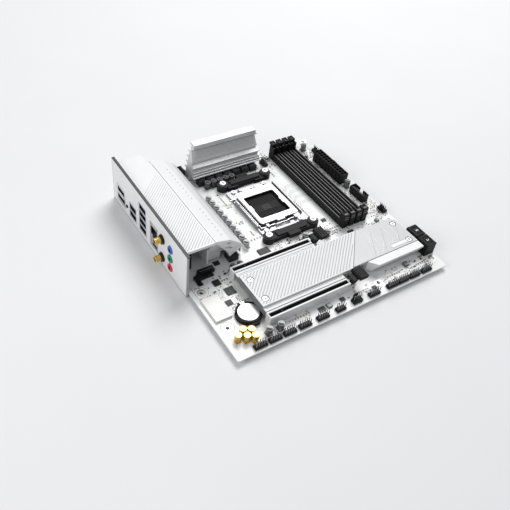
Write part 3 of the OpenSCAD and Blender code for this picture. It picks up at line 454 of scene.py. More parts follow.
def dress(node, material, edge):
    """Gives a CAD node its finish and softens its edges without touching its own mesh."""
    o = NODES[node]
    o.data.materials.clear()
    o.data.materials.append(material)
    if not edge:
        return
    w = o.modifiers.new("weld", "WELD")
    w.merge_threshold = 2e-6
    d = o.modifiers.new("flat", "DECIMATE")
    d.decimate_type = "DISSOLVE"
    d.angle_limit = math.radians(1)
    b = o.modifiers.new("edge", "BEVEL")
    b.width = edge * MM
    b.segments = 2
    b.limit_method = "ANGLE"
    b.angle_limit = math.radians(32)
    n = o.modifiers.new("normal", "WEIGHTED_NORMAL")
    n.keep_sharp = True


for name, (material, edge) in LOOKS.items():
    dress(name, M[material], edge)


# ---- what stands on the board ------------------------------------------------------------------

def board_tree():
    """Every board solid but the board itself, for finding free places from above."""
    points, faces = [], []
    for name, o in NODES.items():
        if name in ("pcb", "cooler_backplate"):
            continue
        n = len(points)
        points += [v.co for v in o.data.vertices]
        faces += [[n + i for i in p.vertices] for p in o.data.polygons]
    return BVHTree.FromPolygons(points, faces)


TREE = board_tree()
PCB_TREE = BVHTree.FromPolygons([v.co for v in NODES["pcb"].data.vertices],
                                [list(p.vertices) for p in NODES["pcb"].data.polygons])
taken = set()
DOWN = Vector((0, 0, -1))


def clear(x0, x1, y0, y1, side=1, margin=0.25):
    """True if a plan rectangle is bare board, on the top (side 1) or underneath (side -1)."""
    if x0 < 1.5 or y0 < 1.2 or x1 > BOARD_EDGE or y1 > BOARD_EDGE:
        return False
    m = margin
    for x in (x0 - m, (x0 + x1) / 2, x1 + m):
        for y in (y0 - m, (y0 + y1) / 2, y1 + m):
            if not PCB_TREE.ray_cast(at(x, y, 60), DOWN)[0]:
                return False
            if side > 0 and TREE.ray_cast(at(x, y, 60), DOWN, 0.0601)[0]:
                return False
    cells = {(side, i, j) for i in range(int((x0 - m) * 2), int((x1 + m) * 2) + 1)
             for j in range(int((y0 - m) * 2), int((y1 + m) * 2) + 1)}
    return not cells & taken


def take(x0, x1, y0, y1, side=1):
    """Marks a plan rectangle as used."""
    taken.update((side, i, j) for i in range(int(x0 * 2), int(x1 * 2) + 1)
                 for j in range(int(y0 * 2), int(y1 * 2) + 1))


S = {k: Batch() for k in ("tan", "dark", "metal", "chip", "grey", "silk", "trace", "gold")}


def passive(x, y, along_x, kind):
    """Chip resistor or capacitor: (length, width, height) with plated ends."""
    l, w, h, body = kind
    a, b = (l / 2, w / 2) if along_x else (w / 2, l / 2)
    e = l * 0.2
    S["metal"].box((x - a, x + a), (y - b, y + b), (0, h * 0.96), 0.04)
    cut = (e, -0.03) if along_x else (-0.03, e)
    S[body].box((x - a + cut[0], x + a - cut[0]), (y - b + cut[1], y + b - cut[1]), (0, h), 0.03)


KINDS = [(1.0, 0.5, 0.35, "dark"), (1.0, 0.5, 0.5, "tan"), (1.6, 0.8, 0.5, "dark"),
         (1.6, 0.8, 0.8, "tan"), (2.0, 1.25, 0.9, "tan"), (3.2, 1.6, 1.1, "dark")]


def row_of(x, y, along_x, count, kind, spread):
    """Row of equal passive parts, wherever the board is bare."""
    for k in range(count):
        px, py = (x, y + k * spread) if along_x else (x + k * spread, y)
        a, b = (kind[0] / 2, kind[1] / 2) if along_x else (kind[1] / 2, kind[0] / 2)
        if clear(px - a, px + a, py - b, py + b):
            passive(px, py, along_x, kind)
            take(px - a, px + a, py - b, py + b)


def leads(cx, cy, hx, hy, h, both, pitch=0.65, reach=0.7):
    """Plated leads round a moulded package of half sizes hx and hy."""
    n = int((2 * hx - 0.6) / pitch)
    for k in range(n + 1):
        x = cx + (k - n / 2) * pitch
        for s in (-1, 1):
            y0, y1 = sorted((cy + s * (hy - 0.1), cy + s * (hy + reach)))
            S["metal"].box((x - 0.13, x + 0.13), (y0, y1), (0, h * 0.35), 0.03)
    if both:
        n = int((2 * hy - 0.6) / pitch)
        for k in range(n + 1):
            y = cy + (k - n / 2) * pitch
            for s in (-1, 1):
                x0, x1 = sorted((cx + s * (hx - 0.1), cx + s * (hx + reach)))
                S["metal"].box((x0, x1), (y - 0.13, y + 0.13), (0, h * 0.35), 0.03)


def small_chip(x, y, hx, hy, h, both):
    """Moulded chip with leads on two or four sides, where the board is bare."""
    m = 0.9
    if not clear(x - hx - m, x + hx + m, y - hy - m, y + hy + m, 1, 0.1):
        return
    take(x - hx - m, x + hx + m, y - hy - m, y + hy + m)
    S["chip"].box((x - hx, x + hx), (y - hy, y + hy), (0.08, h), 0.12)
    leads(x, y, hx, hy, h, both)
    S["silk"].lathe((x - hx - 0.7, y + hy + 0.2, 0.01), "z", ring(0.01, 0.22, 0, 0.03), 10)


def coil(x, y, half, h):
    """Square moulded coil with plated ends, where the board is bare."""
    if not clear(x - half, x + half, y - half, y + half):
        return
    take(x - half, x + half, y - half, y + half)
    S["grey"].box((x - half, x + half), (y - half, y + half), (0, h), 0.3)
    S["metal"].box((x - half - 0.15, x - half + 0.5), (y - half * 0.6, y + half * 0.6), (0, 0.6))
    S["metal"].box((x + half - 0.5, x + half + 0.15), (y - half * 0.6, y + half * 0.6), (0, 0.6))


# Zone: x, y limits, rows of passives, chips, coils
ZONES = [((3, 38, 56, 92), 70, 6, 2), ((22, 30, 6, 60), 20, 1, 0), ((38, 180, 9, 17), 60, 5, 2),
         ((180, 240, 8, 24), 60, 4, 2), ((94, 172, 86, 102), 110, 3, 3),
         ((80, 98, 110, 194), 12, 1, 0), ((162, 178, 96, 204), 3, 0, 0),
         ((96, 164, 196, 214), 26, 0, 1), ((214, 226, 90, 240), 80, 4, 3),
         ((228, 242, 76, 112), 60, 3, 1), ((216, 242, 204, 240), 30, 2, 1),
         ((104, 156, 98, 116), 16, 0, 1), ((164, 180, 206, 240), 24, 1, 1),
         ((40, 66, 86, 98), 40, 1, 0), ((132, 230, 74, 90), 40, 2, 1)]


def populate():
    """Scatters the small parts over the zones."""
    for (x0, x1, y0, y1), rows, chips, coils in ZONES:
        for _ in range(chips):
            hx, hy = rng.choice([(2.5, 2), (1.5, 1.5), (2, 2), (3.4, 3.4), (1.45, 0.7)])
            small_chip(rng.uniform(x0 + 4, x1 - 4), rng.uniform(y0 + 4, y1 - 4), hx, hy,
                       rng.choice([0.8, 1.1, 1.4]), hx == hy and hx > 1.8)
        for _ in range(coils):
            coil(rng.uniform(x0 + 3, x1 - 3), rng.uniform(y0 + 3, y1 - 3),
                 rng.choice([1.6, 2.1, 2.6]), rng.choice([1.6, 2.4, 3]))
        for _ in range(rows):
            kind = rng.choice(KINDS[:4] + KINDS[:4] + KINDS)
            row_of(round(rng.uniform(x0, x1), 1), round(rng.uniform(y0, y1), 1),
                   rng.random() < 0.5, rng.randint(1, 5), kind, kind[1] + rng.choice([0.4, 0.7]))


def chip_detail():
    """Leads for the CAD chips and plated ends for the CAD blocks."""
    for (x0, x1), (y0, y1), (_, h) in islands("control_chips"):
        cx, cy, hx, hy = (x0 + x1) / 2, (y0 + y1) / 2, (x1 - x0) / 2, (y1 - y0) / 2
        if hx > 11:
            continue
        leads(cx, cy, hx, hy, h, abs(hx - hy) < 0.1 and hx > 2.6)
        take(x0 - 1, x1 + 1, y0 - 1, y1 + 1)
        S["grey"].lathe((x0 + 0.8, y1 - 0.8, h), "z", ring(0.01, 0.3, -0.02, 0.02), 12)
    for (x0, x1), (y0, y1), (_, h) in islands("small_parts"):
        for a, b in ((y0 - 0.02, y0 + 0.4), (y1 - 0.4, y1 + 0.02)):
            S["metal"].box((x0 - 0.02, x1 + 0.02), (a, b), (0, h + 0.02), 0.03)
        take(x0, x1, y0, y1)


def rear_socket():
    """Stepped black socket between the port plate and the card slots."""
    S["chip"].box((18, 34.2), (97.8, 103.8), (0.1, 3.6), 0.15)
    S["chip"].box((11.6, 21.4), (92.8, 98.4), (0.1, 3), 0.15)
    for k in range(14):
        S["metal"].box((18.8 + k * 1.1, 19.2 + k * 1.1), (96.9, 97.8), (0, 0.3))
    S["grey"].box((19, 33.2), (100.3, 101.3), (3.55, 3.66))
    take(11, 35, 92, 104.4)


def hole_rings():
    """Plated rings and stitching holes round the tray holes."""
    for x, y in TRAY_HOLES:
        S["metal"].lathe((x, y, 0), "z", ring(2.05, 4.4, 0.005, 0.04), 40)
        S["metal"].lathe((x, y, -BOARD_T), "z", ring(2.05, 4.4, -0.04, -0.005), 40)
        for k in range(8):
            a = k * math.pi / 4
            S["gold"].lathe((x + 3.4 * math.cos(a), y + 3.4 * math.sin(a), 0), "z",
                            ring(0.16, 0.36, 0.02, 0.08), 10)
        take(x - 4.6, x + 4.6, y - 4.6, y + 4.6)


def trace(points, w=0.2):
    """One trace along a route."""
    for p, q in zip(points, points[1:]):
        S["trace"].bar(p, q, w, 0.004, 0.02)


def bundle(points, count, pitch, offset):
    """Parallel traces that follow one route."""
    for k in range(count):
        d = k * pitch
        trace([(x + offset[0] * d, y + offset[1] * d) for x, y in points])


def traces():
    """Trace bundles between the big parts, and stray traces and vias."""
    for y in (136, 146, 156, 166):
        bundle([(156.6, y), (162, y), (168, y + 6), (181, y + 6)], 9, 0.55, (0, 1))
    bundle([(84, 176), (92, 176), (99, 169), (99, 132), (103, 128)], 7, 0.6, (-1, 0))
    bundle([(108, 117), (108, 104), (100, 96), (92, 96)], 6, 0.6, (1, 0))
    bundle([(136, 86), (160, 86), (168, 94), (181, 94)], 8, 0.5, (0, -1))
    bundle([(21, 44), (26, 49), (26, 70), (32, 76)], 6, 0.55, (0, 1))
    bundle([(60, 16), (120, 16), (126, 10), (138, 10)], 4, 0.55, (0, 1))
    bundle([(217, 90), (217, 130), (222, 135), (222, 140)], 5, 0.6, (1, 0))
    bundle([(176, 8), (176, 16), (182, 22), (226, 22)], 4, 0.55, (0, 1))
    bundle([(5, 8), (5, 40)], 4, 0.6, (1, 0))
    for _ in range(FREE_TRACES):
        x, y = rng.uniform(4, 238), rng.uniform(4, 238)
        if not clear(x - 0.4, x + 0.4, y - 0.4, y + 0.4):
            continue
        route = [(x, y)]
        a = rng.randrange(8)
        for _ in range(rng.randint(2, 4)):
            l = rng.uniform(2, 11)
            q = (route[-1][0] + l * math.cos(a * math.pi / 4),
                 route[-1][1] + l * math.sin(a * math.pi / 4))
            if not (4 < q[0] < 240 and 4 < q[1] < 240):
                break
            route.append(q)
            a += rng.choice([-1, 1])
        trace(route, 0.18)
        S["gold"].lathe((route[0][0], route[0][1], 0), "z", ring(0.1, 0.3, 0.01, 0.04), 8)
    for _ in range(FREE_VIAS):
        x, y = rng.uniform(3, 241), rng.uniform(3, 241)
        if clear(x - 0.2, x + 0.2, y - 0.2, y + 0.2, 1, 0.1):
            S["trace"].lathe((x, y, 0), "z", ring(0.08, 0.24, 0.01, 0.03), 8)


def silk_box(x0, x1, y0, y1, w=0.16):
    """Printed rectangle."""
    for p, q in (((x0, y0), (x1, y0)), ((x1, y0), (x1, y1)), ((x1, y1), (x0, y1)),
                 ((x0, y1), (x0, y0))):
        S["silk"].bar(p, q, w, 0.006, 0.02)


def silk():
    """Printed outlines round the connectors and a loop round the rear holes."""
    for n in ("atx_power_connector", "eps_power_connector", "usb_header", "audio_shield"):
        (x0, y0, _), (x1, y1, _) = (back(c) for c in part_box(n))
        silk_box(x0 - 0.9, x1 + 0.9, y0 - 0.9, y1 + 0.9)
    for n in ("header_bases", "fan_headers"):
        for (x0, x1), (y0, y1), _ in islands(n):
            silk_box(x0 - 0.5, x1 + 0.5, y0 - 0.5, y1 + 0.5)
    (x0, y0, _), (x1, _, _) = (back(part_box("memory_slot_1")[0]), back(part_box("memory_slot_4")[1]))
    silk_box(x0 - 1, x1 + 1, y0 - 1, 241)
    for cx, cy in TRAY_HOLES[:2]:
        for k in range(20):
            a, b = (math.pi * (0.1 + 1.5 * t / 20) - 1.6 for t in (k, k + 1))
            p, q = ((cx + 6.4 * math.cos(t), cy + 6.4 * math.sin(t)) for t in (a, b))
            S["silk"].bar(p, q, 0.3, 0.006, 0.02)
    loop = [(4, 90), (4, 74), (8, 70), (22, 70), (25, 73), (25, 78)]
    for p, q in zip(loop, loop[1:]):
        S["silk"].bar(p, q, 0.35, 0.006, 0.02)


def under_board():
    """Solder joints and small parts on the underside."""
    joints = []
    for y in CARD_SLOT_Y:
        joints += [(45 + k * 2, y + s * 1.4) for k in range(42) for s in (-1, 1)]
    joints += [(x, y) for y in range(146, 236, 3) for x in (4, 12)]
    joints += [(x, y) for x in (3, 9) for y in (112, 116, 120, 130, 135)]
    joints += [(233 + 4 * s, y) for s in (0, 1) for y in range(22, 50, 3)]
    for x, y in joints:
        S["metal"].lathe((x, y, -BOARD_T), "z", [(0, 0.01), (0, 0.7), (-0.35, 0.45),
                                                 (-0.7, 0.2), (-0.75, 0.01)], 10)
    for _ in range(UNDER_PARTS):
        x, y = rng.uniform(20, 224), rng.uniform(12, 232)
        if 94 < x < 164 and 100 < y < 208 or not clear(x - 1, x + 1, y - 1, y + 1, -1):
            continue
        take(x - 1, x + 1, y - 1, y + 1, -1)
        l, w, h, body = rng.choice(KINDS[:4])
        S["metal"].box((x - l / 2, x + l / 2), (y - w / 2, y + w / 2),
                       (-BOARD_T - h * 0.95, -BOARD_T))
        S[body].box((x - l * 0.3, x + l * 0.3), (y - w / 2 - 0.02, y + w / 2 + 0.02),
                    (-BOARD_T - h, -BOARD_T))


# ---- covers and heatsinks ----------------------------------------------------------------------

def cover_stripes():
    """Diagonal stripes across the storage cover, and fading ones across the port cover."""
    b = Batch()
    plan = [(45.2, 32.4), (143.2, 32.4), (176.4, 70.2), (45.2, 70.2)]
    holes = [(50, 38.2, 4.3), (50.2, 63.1, 4.3)]
    for p, q in clipped(plan, math.pi / 4, 2.63, holes):
        b.bar(p, q, 1.0, 13.74, 0.16)
    b.make("cover_stripes", M["stripe"], slot="white_paint")
    b = Batch()
    plan = [(1.6, 97), (29.6, 97), (29.6, 206), (1.6, 206)]
    for p, q in clipped(plan, math.pi / 4, 2.34):
        mid = (p[1] + q[1]) / 2
        fade = max(0.0, 1 - max(0, mid - 110) / 96)
        if fade > 0.12:
            b.bar(p, q, 0.25 + 0.65 * fade, 39.94, 0.14)
    b.make("port_cover_stripes", M["soft_stripe"], slot="white_paint")


def cover_lines():
    """Thin dark seams and edge lines on the covers."""
    b = Batch()
    b.bar((31.35, 96), (31.35, 223), 0.65, 39.7, 0.32)
    b.bar((44, 30.4), (128, 30.4), 0.35, 11.6, 0.05)
    b.bar((44, 73.2), (128, 73.2), 0.35, 11.6, 0.05)
    b.bar((162, 32.2), (228.8, 32.2), 0.4, 12.5, 0.2)
    b.bar((144.6, 31.2), (179.6, 71.4), 0.3, 13.0, 0.15)
    for x, y in [(50, 38.2), (50.2, 63.1)]:
        b.lathe((x, y, 13.8), "z", ring(3.05, 3.7, -0.05, 0.06), 36)
    for x, y in [(221.9, 37.2), (222.4, 62.5)]:
        b.lathe((x, y, 13.2), "z", ring(3.05, 3.7, -0.05, 0.06), 36)
    b.make("cover_seams", M["silk"], slot="dark_rim")


def chipset_marks():
    """Plain label bar and faint raised circuit lines on the chipset cover."""
    b = Batch()
    r, x0, x1, y0, y1 = 1.3, 198.4, 218.6, 35, 39
    plan = []
    for cx, cy, a0 in ((x1 - r, y1 - r, 0), (x0 + r, y1 - r, 1), (x0 + r, y0 + r, 2),
                       (x1 - r, y0 + r, 3)):
        plan += [(cx + r * math.cos((a0 + t / 5) * math.pi / 2),
                  cy + r * math.sin((a0 + t / 5) * math.pi / 2)) for t in range(6)]
    b.prism([(x, y, 12.9) for x, y in plan], [(x, y, 13.3) for x, y in plan])
    b.make("label_bar", M["label"], slot="alloy_plate")
    b = Batch()
    for x, y, l in ((170, 36, 22), (178, 34.5, 14), (186, 36, 30), (192, 42, 12), (204, 42, 24),
                    (212, 44, 18), (182, 52, 14)):
        q = (x + 4, y + 4)
        for s, e in (((x, y), q), (q, (q[0], min(y + l, 69)))):
            b.bar(s, e, 0.3, 13.17, 0.08)
        b.lathe((x, y, 13.17), "z", ring(0.3, 0.7, 0, 0.08), 16)
    b.make("chipset_lines", M["label"], slot="alloy_plate")


def rear_sink_marks():
    """Double line along the processor side and a row of plain strokes."""
    b = Batch()
    for x in (56.0, 58.4):
        low = [(u, v, 37.05 - (u - 46.8) * 0.752) for u, v in
               ((x, 105), (x + 0.5, 105.4), (x + 0.5, 228.4), (x, 228.4))]
        b.prism(low, [(u + 0.06, v, w + 0.1) for u, v, w in low])
    b.make("heatsink_lines", M["silk"], slot="white_paint")
    b = Batch()
    for k in range(20):
        y = 104 + k * 5.6
        if k in (8, 9):
            continue
        x = 41.2
        z = 40 - (x - 33.4) * 2.9 / 13.4
        b.bar((x, y), (x + 1.7, y + (0.6 if k % 3 else 0)), 0.5, z - 0.3, 0.36)
    b.make("heatsink_strokes", M["stripe"], slot="white_paint")


def top_sink_detail():
    """Crossed fine ribs on the sloped face, a dotted line, and dark lines at the steps as painted
    shade under them.
    """
    b, d = Batch(), Batch()
    lo, hi = (227.4, 23.2), (233.4, 34.6)
    length = math.hypot(hi[0] - lo[0], hi[1] - lo[1])
    uy, uz = (hi[0] - lo[0]) / length, (hi[1] - lo[1]) / length

    def tile(batch, x, s, w, l, slant):
        y, z = lo[0] + uy * s, lo[1] + uz * s
        y2, z2 = lo[0] + uy * (s + l), lo[1] + uz * (s + l)
        n = (-uz * 0.12, uy * 0.12)
        low = [(x, y, z), (x + w, y, z), (x + w + slant, y2, z2), (x + slant, y2, z2)]
        batch.prism(low, [(p[0], p[1] + n[0], p[2] + n[1]) for p in low])

    x = 84.0
    while x < 158.6:
        tile(b, x, 2.4, 0.34, length - 3.0, 4.2)
        x += 1.5
    x = 83.0
    while x < 163:
        tile(d, x, 1.2, 0.6, 0.5, 0)
        x += 2.3
    b.make("sink_hatching", M["hatch"], slot="brushed_alloy")
    # Dark strips under the lip and the lower step: painted shade.
    d.box((80.4, 163), (230.15, 230.45), (36.2, 36.6))
    d.box((78.4, 162.9), (222.35, 222.7), (18.5, 18.9))
    d.make("sink_dots_and_shade_lines", M["silk"], slot="brushed_alloy")


# ---- socket and slots --------------------------------------------------------------------------

def socket_pins():
    """Spring contact tips over the contact plate, and lower ones in the gap at its middle."""
    b = Batch()
    for i in range(39):
        for j in range(39):
            x, y = SOCKET_X + (i - 19) * 0.98, SOCKET_Y + (j - 19) * 0.98
            on_strip = any(abs(y - SOCKET_Y - k * 2) < 0.4 for k in range(-9, 10) if abs(k) > 2)
            z = 3.2 if on_strip else 2.9
            if abs(x - SOCKET_X) < 5.2 and abs(y - SOCKET_Y) < 4.2:
                z = 2.6
            b.box((x - 0.14, x + 0.3), (y - 0.14, y + 0.14), (z, z + 0.22), 0.05)
    # Contact tips coloured near-black as painted shade in the socket window.
    b.make("socket_pins", M["shaded_contact"], slot="gold_contacts")


def plate_relief():
    """Pressed ribs and a corner mark on the load plate."""
    b = Batch()
    for x in (107.3, 148.9):
        b.box((x - 0.45, x + 0.45), (137, 169), (6.78, 6.98), 0.2)
    for x in (116.5, 139.5):
        b.box((x - 5, x + 5), (173.8, 175), (6.78, 6.98), 0.2)
        b.box((x - 5, x + 5), (130.4, 131.6), (6.78, 6.98), 0.2)
    low = [(110, 131.6, 6.78), (112.4, 131.6, 6.78), (110, 134, 6.78)]
    b.prism(low, [(x, y, 6.95) for x, y, _ in low])
    b.make("plate_relief", M["steel"], "load_plate", "socket_steel")


def memory_contacts():
    """Contact rows in the memory grooves, coloured as painted shade, and grey ribs on the housings as
    painted highlight on their lit edges.
    """
    c, ribs = Batch(), Batch()
    for x in MEMORY_X:
        for k in range(144):
            y = 99.6 + k * 0.83
            if 156.6 < y < 159.8:
                continue
            for s in (-1, 1):
                a, b = sorted((x + s * 0.72, x + s * 0.98))
                c.box((a, b), (y - 0.2, y + 0.2), (5.0, 8.1))
        # Grey strips on the housing tops and ends: painted highlight where light falls.
        for s in (-1, 1):
            xs = x + s * 2.35
            ribs.box((xs - 0.36, xs + 0.36), (99, 219.6), (8.5, 8.85), 0.06)
        ribs.box((x - 2.2, x + 2.2), (91.8, 93.6), (16.95, 17.1), 0.2)
        for z in (11, 13.4):
            ribs.box((x - 2.6, x + 2.6), (90.36, 90.56), (z, z + 1.2))
    # Contacts coloured near-black as painted shade in the grooves.
    c.make("memory_contacts", M["shaded_contact"], slot="gold_contacts")
    ribs.make("memory_ribs_painted_highlight", M["lit_rib"], slot="slot_black")


def card_contacts():
    """Contact rows in the card grooves."""
    c = Batch()
    for yc in CARD_SLOT_Y:
        for k in range(82):
            x = 45.6 + k * 1.04
            if 55.9 < x < 58.3:
                continue
            for s in (-1, 1):
                a, b = sorted((yc + s * 0.68, yc + s * 0.94))
                c.box((x - 0.24, x + 0.24), (a, b), (4.4, 9.7))
                a, b = sorted((yc + s * 1.75, yc + s * 1.95))
                c.box((x - 0.2, x + 0.2), (a, b), (10.66, 10.76))
    # Contacts coloured near-black as painted shade in the grooves.
    c.make("card_contacts", M["shaded_contact"], slot="gold_contacts")


def latch_relief():
    """Grip ribs on the memory latch knobs."""
    for n, x in enumerate(MEMORY_X):
        b = Batch()
        for k in range(3):
            b.box((x - 1.7, x + 1.7), (226 + k * 1.3, 226.6 + k * 1.3), (18.78, 19.1), 0.1)
        b.make(f"latch_grip_{n + 1}", M["grip"], f"memory_latch_{n + 1}", "latch_black")


# ---- parts on the board ------------------------------------------------------------------------

def can_tops():
    """Dark printed half on each silver can, pale tops on the gold ones."""
    dark, pale, rim = Batch(), Batch(), Batch()
    for node in ("vrm_capacitors", "bulk_capacitors"):
        for (x0, x1), (y0, y1), (_, h) in islands(node):
            r = (x1 - x0) / 2
            if h < 4:
                continue
            c = ((x0 + x1) / 2, (y0 + y1) / 2, h)
            dark.lathe(c, "z", ring(0.02, r - 0.3, -0.02, 0.04), 18, math.pi * 0.75, math.pi)
            if node == "vrm_capacitors":
                rim.lathe(c, "z", ring(r - 0.3, r - 0.12, -0.02, 0.05), 30)
    dark.make("can_marks", M["mark"], slot="can_silver")
    rim.make("can_rims", M["can_rim"], slot="can_silver")
    for (x0, x1), (y0, y1), (_, h) in islands("audio_capacitors"):
        c = ((x0 + x1) / 2, (y0 + y1) / 2, h)
        pale.lathe(c, "z", ring(0.02, 2.5, -0.02, 0.05), 30)
    pale.make("can_faces", M["can_top"], slot="can_gold", smooth=True)


def battery_detail():
    """Turned rings and the top clip of the coin cell."""
    b, clip = Batch(), Batch()
    x, y = 33.4, 38.1
    b.lathe((x, y, 5), "z", ring(8.3, 8.6, -0.02, 0.04), 60)
    b.lathe((x, y, 5), "z", ring(5.2, 5.35, -0.02, 0.03), 60)
    b.make("cell_rings", M["solder"], slot="coin_cell_steel", smooth=True)
    clip.box((x - 2, x + 2), (y + 8.6, y + 12.4), (5.02, 5.3), 0.1)
    clip.box((x - 1.2, x + 1.2), (y + 5.6, y + 8.8), (5.02, 5.24), 0.1)
    clip.make("cell_clip", M["steel"], slot="coin_cell_steel")


def power_pins():
    """Metal pins in the power plugs, and the chamfered cell walls round them."""
    b, w = Batch(), Batch()
    cells = [(230.5 + s * 2.1, 176.3 + (i - 5.5) * 4.2) for i in range(12) for s in (-1, 1)]
    cells += [(63.6 + (i - 1.5) * 4.2, 236.6 + s * 2.1) for i in range(4) for s in (-1, 1)]
    for x, y in cells:
        b.box((x - 0.55, x + 0.55), (y - 0.55, y + 0.55), (2.3, 8.2), 0.12)
        for s in (-1, 1):
            w.box((x + s * 1.78 - 0.12, x + s * 1.78 + 0.12), (y - 1.9, y + 1.9),
                  (12.7, 12.95), 0.05)
            w.box((x - 1.9, x + 1.9), (y + s * 1.78 - 0.12, y + s * 1.78 + 0.12),
                  (12.7, 12.95), 0.05)
    b.make("power_pins", M["solder"], slot="gold_contacts")
    w.make("power_cell_rims", M["latch"], slot="connector_black")


def sata_marks():
    """Plain marks and contacts of the data plugs."""
    b = Batch()
    for y in (19.8, 35.8):
        for k in range(2):
            b.box((236.6 + k * 1.8, 237.3 + k * 1.8), (y + 6.2, y + 8.2), (13.95, 14.08))
        for z in (3.6, 10):
            for k in range(7):
                b.box((236, 242.4), (y + 3.8 + k * 1.1, y + 4.2 + k * 1.1), (z + 0.55, z + 0.72))
    b.make("sata_contacts", M["solder"], slot="gold_contacts")


# ---- rear ports --------------------------------------------------------------------------------

def port_liner(dark, tongue, y, z, w, h, depth, t):
    """Dark lining and a coloured tongue inside a flat port; the lining on the walls of the metal
    shell is painted shade.
    """
    e = 0.14
    x = (-1.9, depth - 0.02)
    dark.box(x, (y - w / 2, y + w / 2), (z - h / 2, z - h / 2 + e))
    dark.box(x, (y - w / 2, y + w / 2), (z + h / 2 - e, z + h / 2))
    dark.box(x, (y - w / 2, y - w / 2 + e), (z - h / 2, z + h / 2))
    dark.box(x, (y + w / 2 - e, y + w / 2), (z - h / 2, z + h / 2))
    dark.box((depth - 0.3, depth), (y - w / 2, y + w / 2), (z - h / 2, z + h / 2))
    m = w * 0.4 + 0.06
    tongue.box((-1.4, depth), (y - m, y + m), (z + t[0] - 0.06, z + t[1] + 0.06))


def ports():
    """Linings, tongues, contacts and lamps of the rear sockets."""
    dark, blue, gold, steel = Batch(), Batch(), Batch(), Batch()
    for y, n in ((174.75, 4), (197.15, 2)):
        for i in range(n):
            z = 4.7 + i * 8.5
            port_liner(dark, blue, y, z, 13.2, 6, 9, (0.3, 2.2))
            for k in range(4):
                gold.box((-1.0, 5), (y - 4 + k * 2.5, y - 3.2 + k * 2.5), (z + 0.1, z + 0.26))
            for k in (-1, 1):
                steel.box((-2.34, -2.16), (y + k * 3.2 - 1.2, y + k * 3.2 + 1.2),
                          (z - 3.9, z - 3.5), 0.02)
    port_liner(dark, dark, 148.7, 4.6, 9.2, 3.4, 7, (-0.4, 0.4))
    port_liner(dark, dark, 225, 15.6, 15, 5.6, 9, (-0.8, 0.8))
    port_liner(dark, dark, 225, 6, 16.4, 5.2, 9, (-0.8, 0.8))
    for k in range(9):
        for z in (16.46, 6.86):
            gold.box((-1.2, 5), (220.6 + k * 1.1, 221 + k * 1.1), (z, z + 0.14))
    y = 150.3
    dark.box((10.7, 11), (y - 6.4, y + 6.4), (15.6, 25.6))
    dark.box((-1.9, 10.8), (y - 6.4, y - 6.2), (15.6, 25.6))
    dark.box((-1.9, 10.8), (y + 6.2, y + 6.4), (15.6, 25.6))
    dark.box((-1.9, 10.8), (y - 6.4, y + 6.4), (25.4, 25.6))
    for k in range(8):
        b0 = y - 3.9 + k * 1.02
        gold.prism([(0, b0, 25.2), (0, b0 + 0.4, 25.2), (0, b0 + 0.4, 25.4), (0, b0, 25.4)],
                   [(8, b0, 21.6), (8, b0 + 0.4, 21.6), (8, b0 + 0.4, 21.8), (8, b0, 21.8)])
    # Walls in the USB and display shells are painted shade; the network socket walls and dark tongues
    # are black plastic.
    dark.make("port_plastic_and_painted_shade", M["gloss"], slot="port_steel")
    blue.make("port_tongues", M["blue"], slot="port_steel")
    gold.make("port_contacts", M["gold"], slot="gold_contacts")
    steel.make("port_springs", M["screw"], slot="port_steel")
    for s, mat in ((-1, "lamp_green"), (1, "lamp_amber")):
        b = Batch()
        b.box((-2.34, -2.1), (y + s * 5.6 - 1.1, y + s * 5.6 + 1.1), (26.6, 28.2), 0.05)
        b.make("network_" + mat, M[mat], slot="port_steel")


def jack_rings():
    """Coloured plastic rings of the audio jacks."""
    for z, mat in ((27.4, "ring_blue"), (16.3, "ring_green"), (5.2, "ring_red")):
        b = Batch()
        b.lathe((0, 116.5, z), "x", [(-2.2, 1.82), (-2.2, 4.06), (-3.3, 4.06), (-3.55, 3.8),
                                     (-3.55, 2.5), (-3.3, 2.2), (-3.3, 1.82)], 48)
        b.make(mat, M[mat], slot="jack_plastic", smooth=True)


def antennas():
    """Threaded gilt barrels, standing for the plain CAD ones, with dark nuts."""
    gold, nut = Batch(), Batch()
    for z in (4.8, 27.2):
        c = (0, 132.6, z)
        thread = [(3, 0.02), (3, 3.0), (-4.6, 3.0)]
        for k in range(8):
            x = -4.7 - k * 0.66
            thread += [(x, 2.92), (x - 0.2, 3.175), (x - 0.4, 3.175), (x - 0.6, 2.92)]
        thread += [(-10.1, 2.92), (-10.3, 2.75), (-10.3, 2.3), (-5.3, 2.3), (-5.3, 0.02)]
        gold.lathe(c, "x", thread, 48)
        gold.lathe(c, "x", [(-9.3, 0.02), (-9.3, 0.5), (-9.1, 0.7), (-4.8, 0.7), (-4.8, 0.02)], 20)
        gold.lathe(c, "x", [(3, 0.02), (3, 1.4), (9, 1.4), (9, 0.02)], 20)
        nut.lathe(c, "x", [(-2.3, 3.0), (-2.3, 5), (-3.1, 4.9), (-3.1, 3.0)], 48)
        nut.lathe(c, "x", [(-3.1, 3.0), (-3.1, 4.5), (-3.3, 4.75), (-4.5, 4.75), (-4.7, 4.4),
                           (-4.7, 3.0)], 6)
        nut.lathe(c, "x", [(-1.5, 3.0), (-1.5, 4.4), (-0.3, 4.4), (-0.3, 3.0)], 6)
    o = gold.make("antenna_barrels", M["gold"], slot="antenna_brass", smooth=True)
    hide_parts("antenna_jacks")
    nut.make("antenna_nuts", M["mark"], slot="antenna_brass", smooth=True)


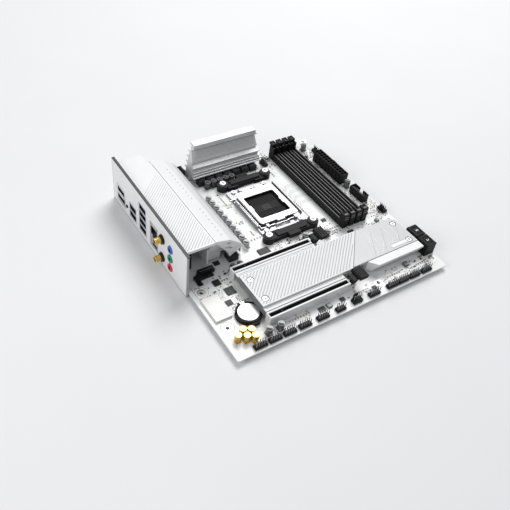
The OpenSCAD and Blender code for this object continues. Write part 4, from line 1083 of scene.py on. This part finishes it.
chip_detail()
hole_rings()
rear_socket()
populate()
traces()
silk()
under_board()
for key, material, slot in (("tan", "ceramic", "chip_ceramic"), ("dark", "mark", "mould_black"),
                            ("metal", "solder", "screw_steel"), ("chip", "chip", "mould_black"),
                            ("grey", "can_grey", "choke_ferrite"), ("silk", "silk", "dark_rim"),
                            ("trace", "trace", "solder_mask"), ("gold", "gold", "gold_contacts")):
    S[key].make("board_" + key, M[material], slot=slot)
cover_stripes()
cover_lines()
chipset_marks()
rear_sink_marks()
top_sink_detail()
socket_pins()
plate_relief()
memory_contacts()
card_contacts()
latch_relief()
can_tops()
battery_detail()
power_pins()
sata_marks()
ports()
jack_rings()
antennas()


# ---- studio ------------------------------------------------------------------------------------

def floor():
    """Plain pale floor just under the part."""
    g = Graph("floor", 0.7, 0.0)
    g.link(g.blend(g.range(g.noise(6, 3), 0, 1), (0.81, 0.81, 0.81), (0.825, 0.825, 0.825)),
           g.p.inputs["Base Color"])
    mesh = bpy.data.meshes.new("floor")
    z = CAD_LO.z - 0.0002
    mesh.from_pydata([(-6, -6, z), (6, -6, z), (6, 6, z), (-6, 6, z)], [], [[0, 1, 2, 3]])
    o = bpy.data.objects.new("floor", mesh)
    bpy.context.scene.collection.objects.link(o)
    mesh.materials.append(g.m)


def lamp(name, place, target, size, power):
    """Round soft light aimed at a point."""
    data = bpy.data.lights.new(name, "AREA")
    data.shape = "DISK"
    data.size = size
    data.energy = power
    o = bpy.data.objects.new(name, data)
    o.location = place
    o.rotation_euler = (Vector(target) - Vector(place)).to_track_quat("-Z", "Y").to_euler()
    bpy.context.scene.collection.objects.link(o)


def studio():
    """Pale surroundings and three soft lights."""
    world = bpy.data.worlds.new("studio")
    world.use_nodes = True
    sky = world.node_tree.nodes["Background"]
    sky.inputs[0].default_value = (0.95, 0.96, 1.0, 1)
    sky.inputs[1].default_value = 0.35
    bpy.context.scene.world = world
    mid = (0.11, 0.04, 0.01)
    lamp("key", (0.95, 0.95, 1.75), mid, 1.3, 34)
    lamp("left", (-1.0, -0.1, 0.7), mid, 0.8, 5)
    lamp("front", (0.5, -1.2, 0.8), mid, 0.9, 0.6)
    bpy.context.scene.view_settings.view_transform = "Standard"


def camera():
    """Camera at the angle of the photograph."""
    data = bpy.data.cameras.new("camera")
    data.lens = 43.2
    data.sensor_width = 36
    data.clip_start = 0.01
    data.clip_end = 20
    o = bpy.data.objects.new("camera", data)
    right = Vector((0.837873, -0.536916, 0.098436))
    up = Vector((0.317655, 0.626241, 0.711981))
    behind = right.cross(up)
    turn = Matrix((right, up, behind)).transposed()
    o.matrix_world = Matrix.Translation(Vector((-0.19297, -0.31530, 0.41274))) @ turn.to_4x4()
    bpy.context.scene.collection.objects.link(o)
    bpy.context.scene.camera = o


floor()
studio()
camera()
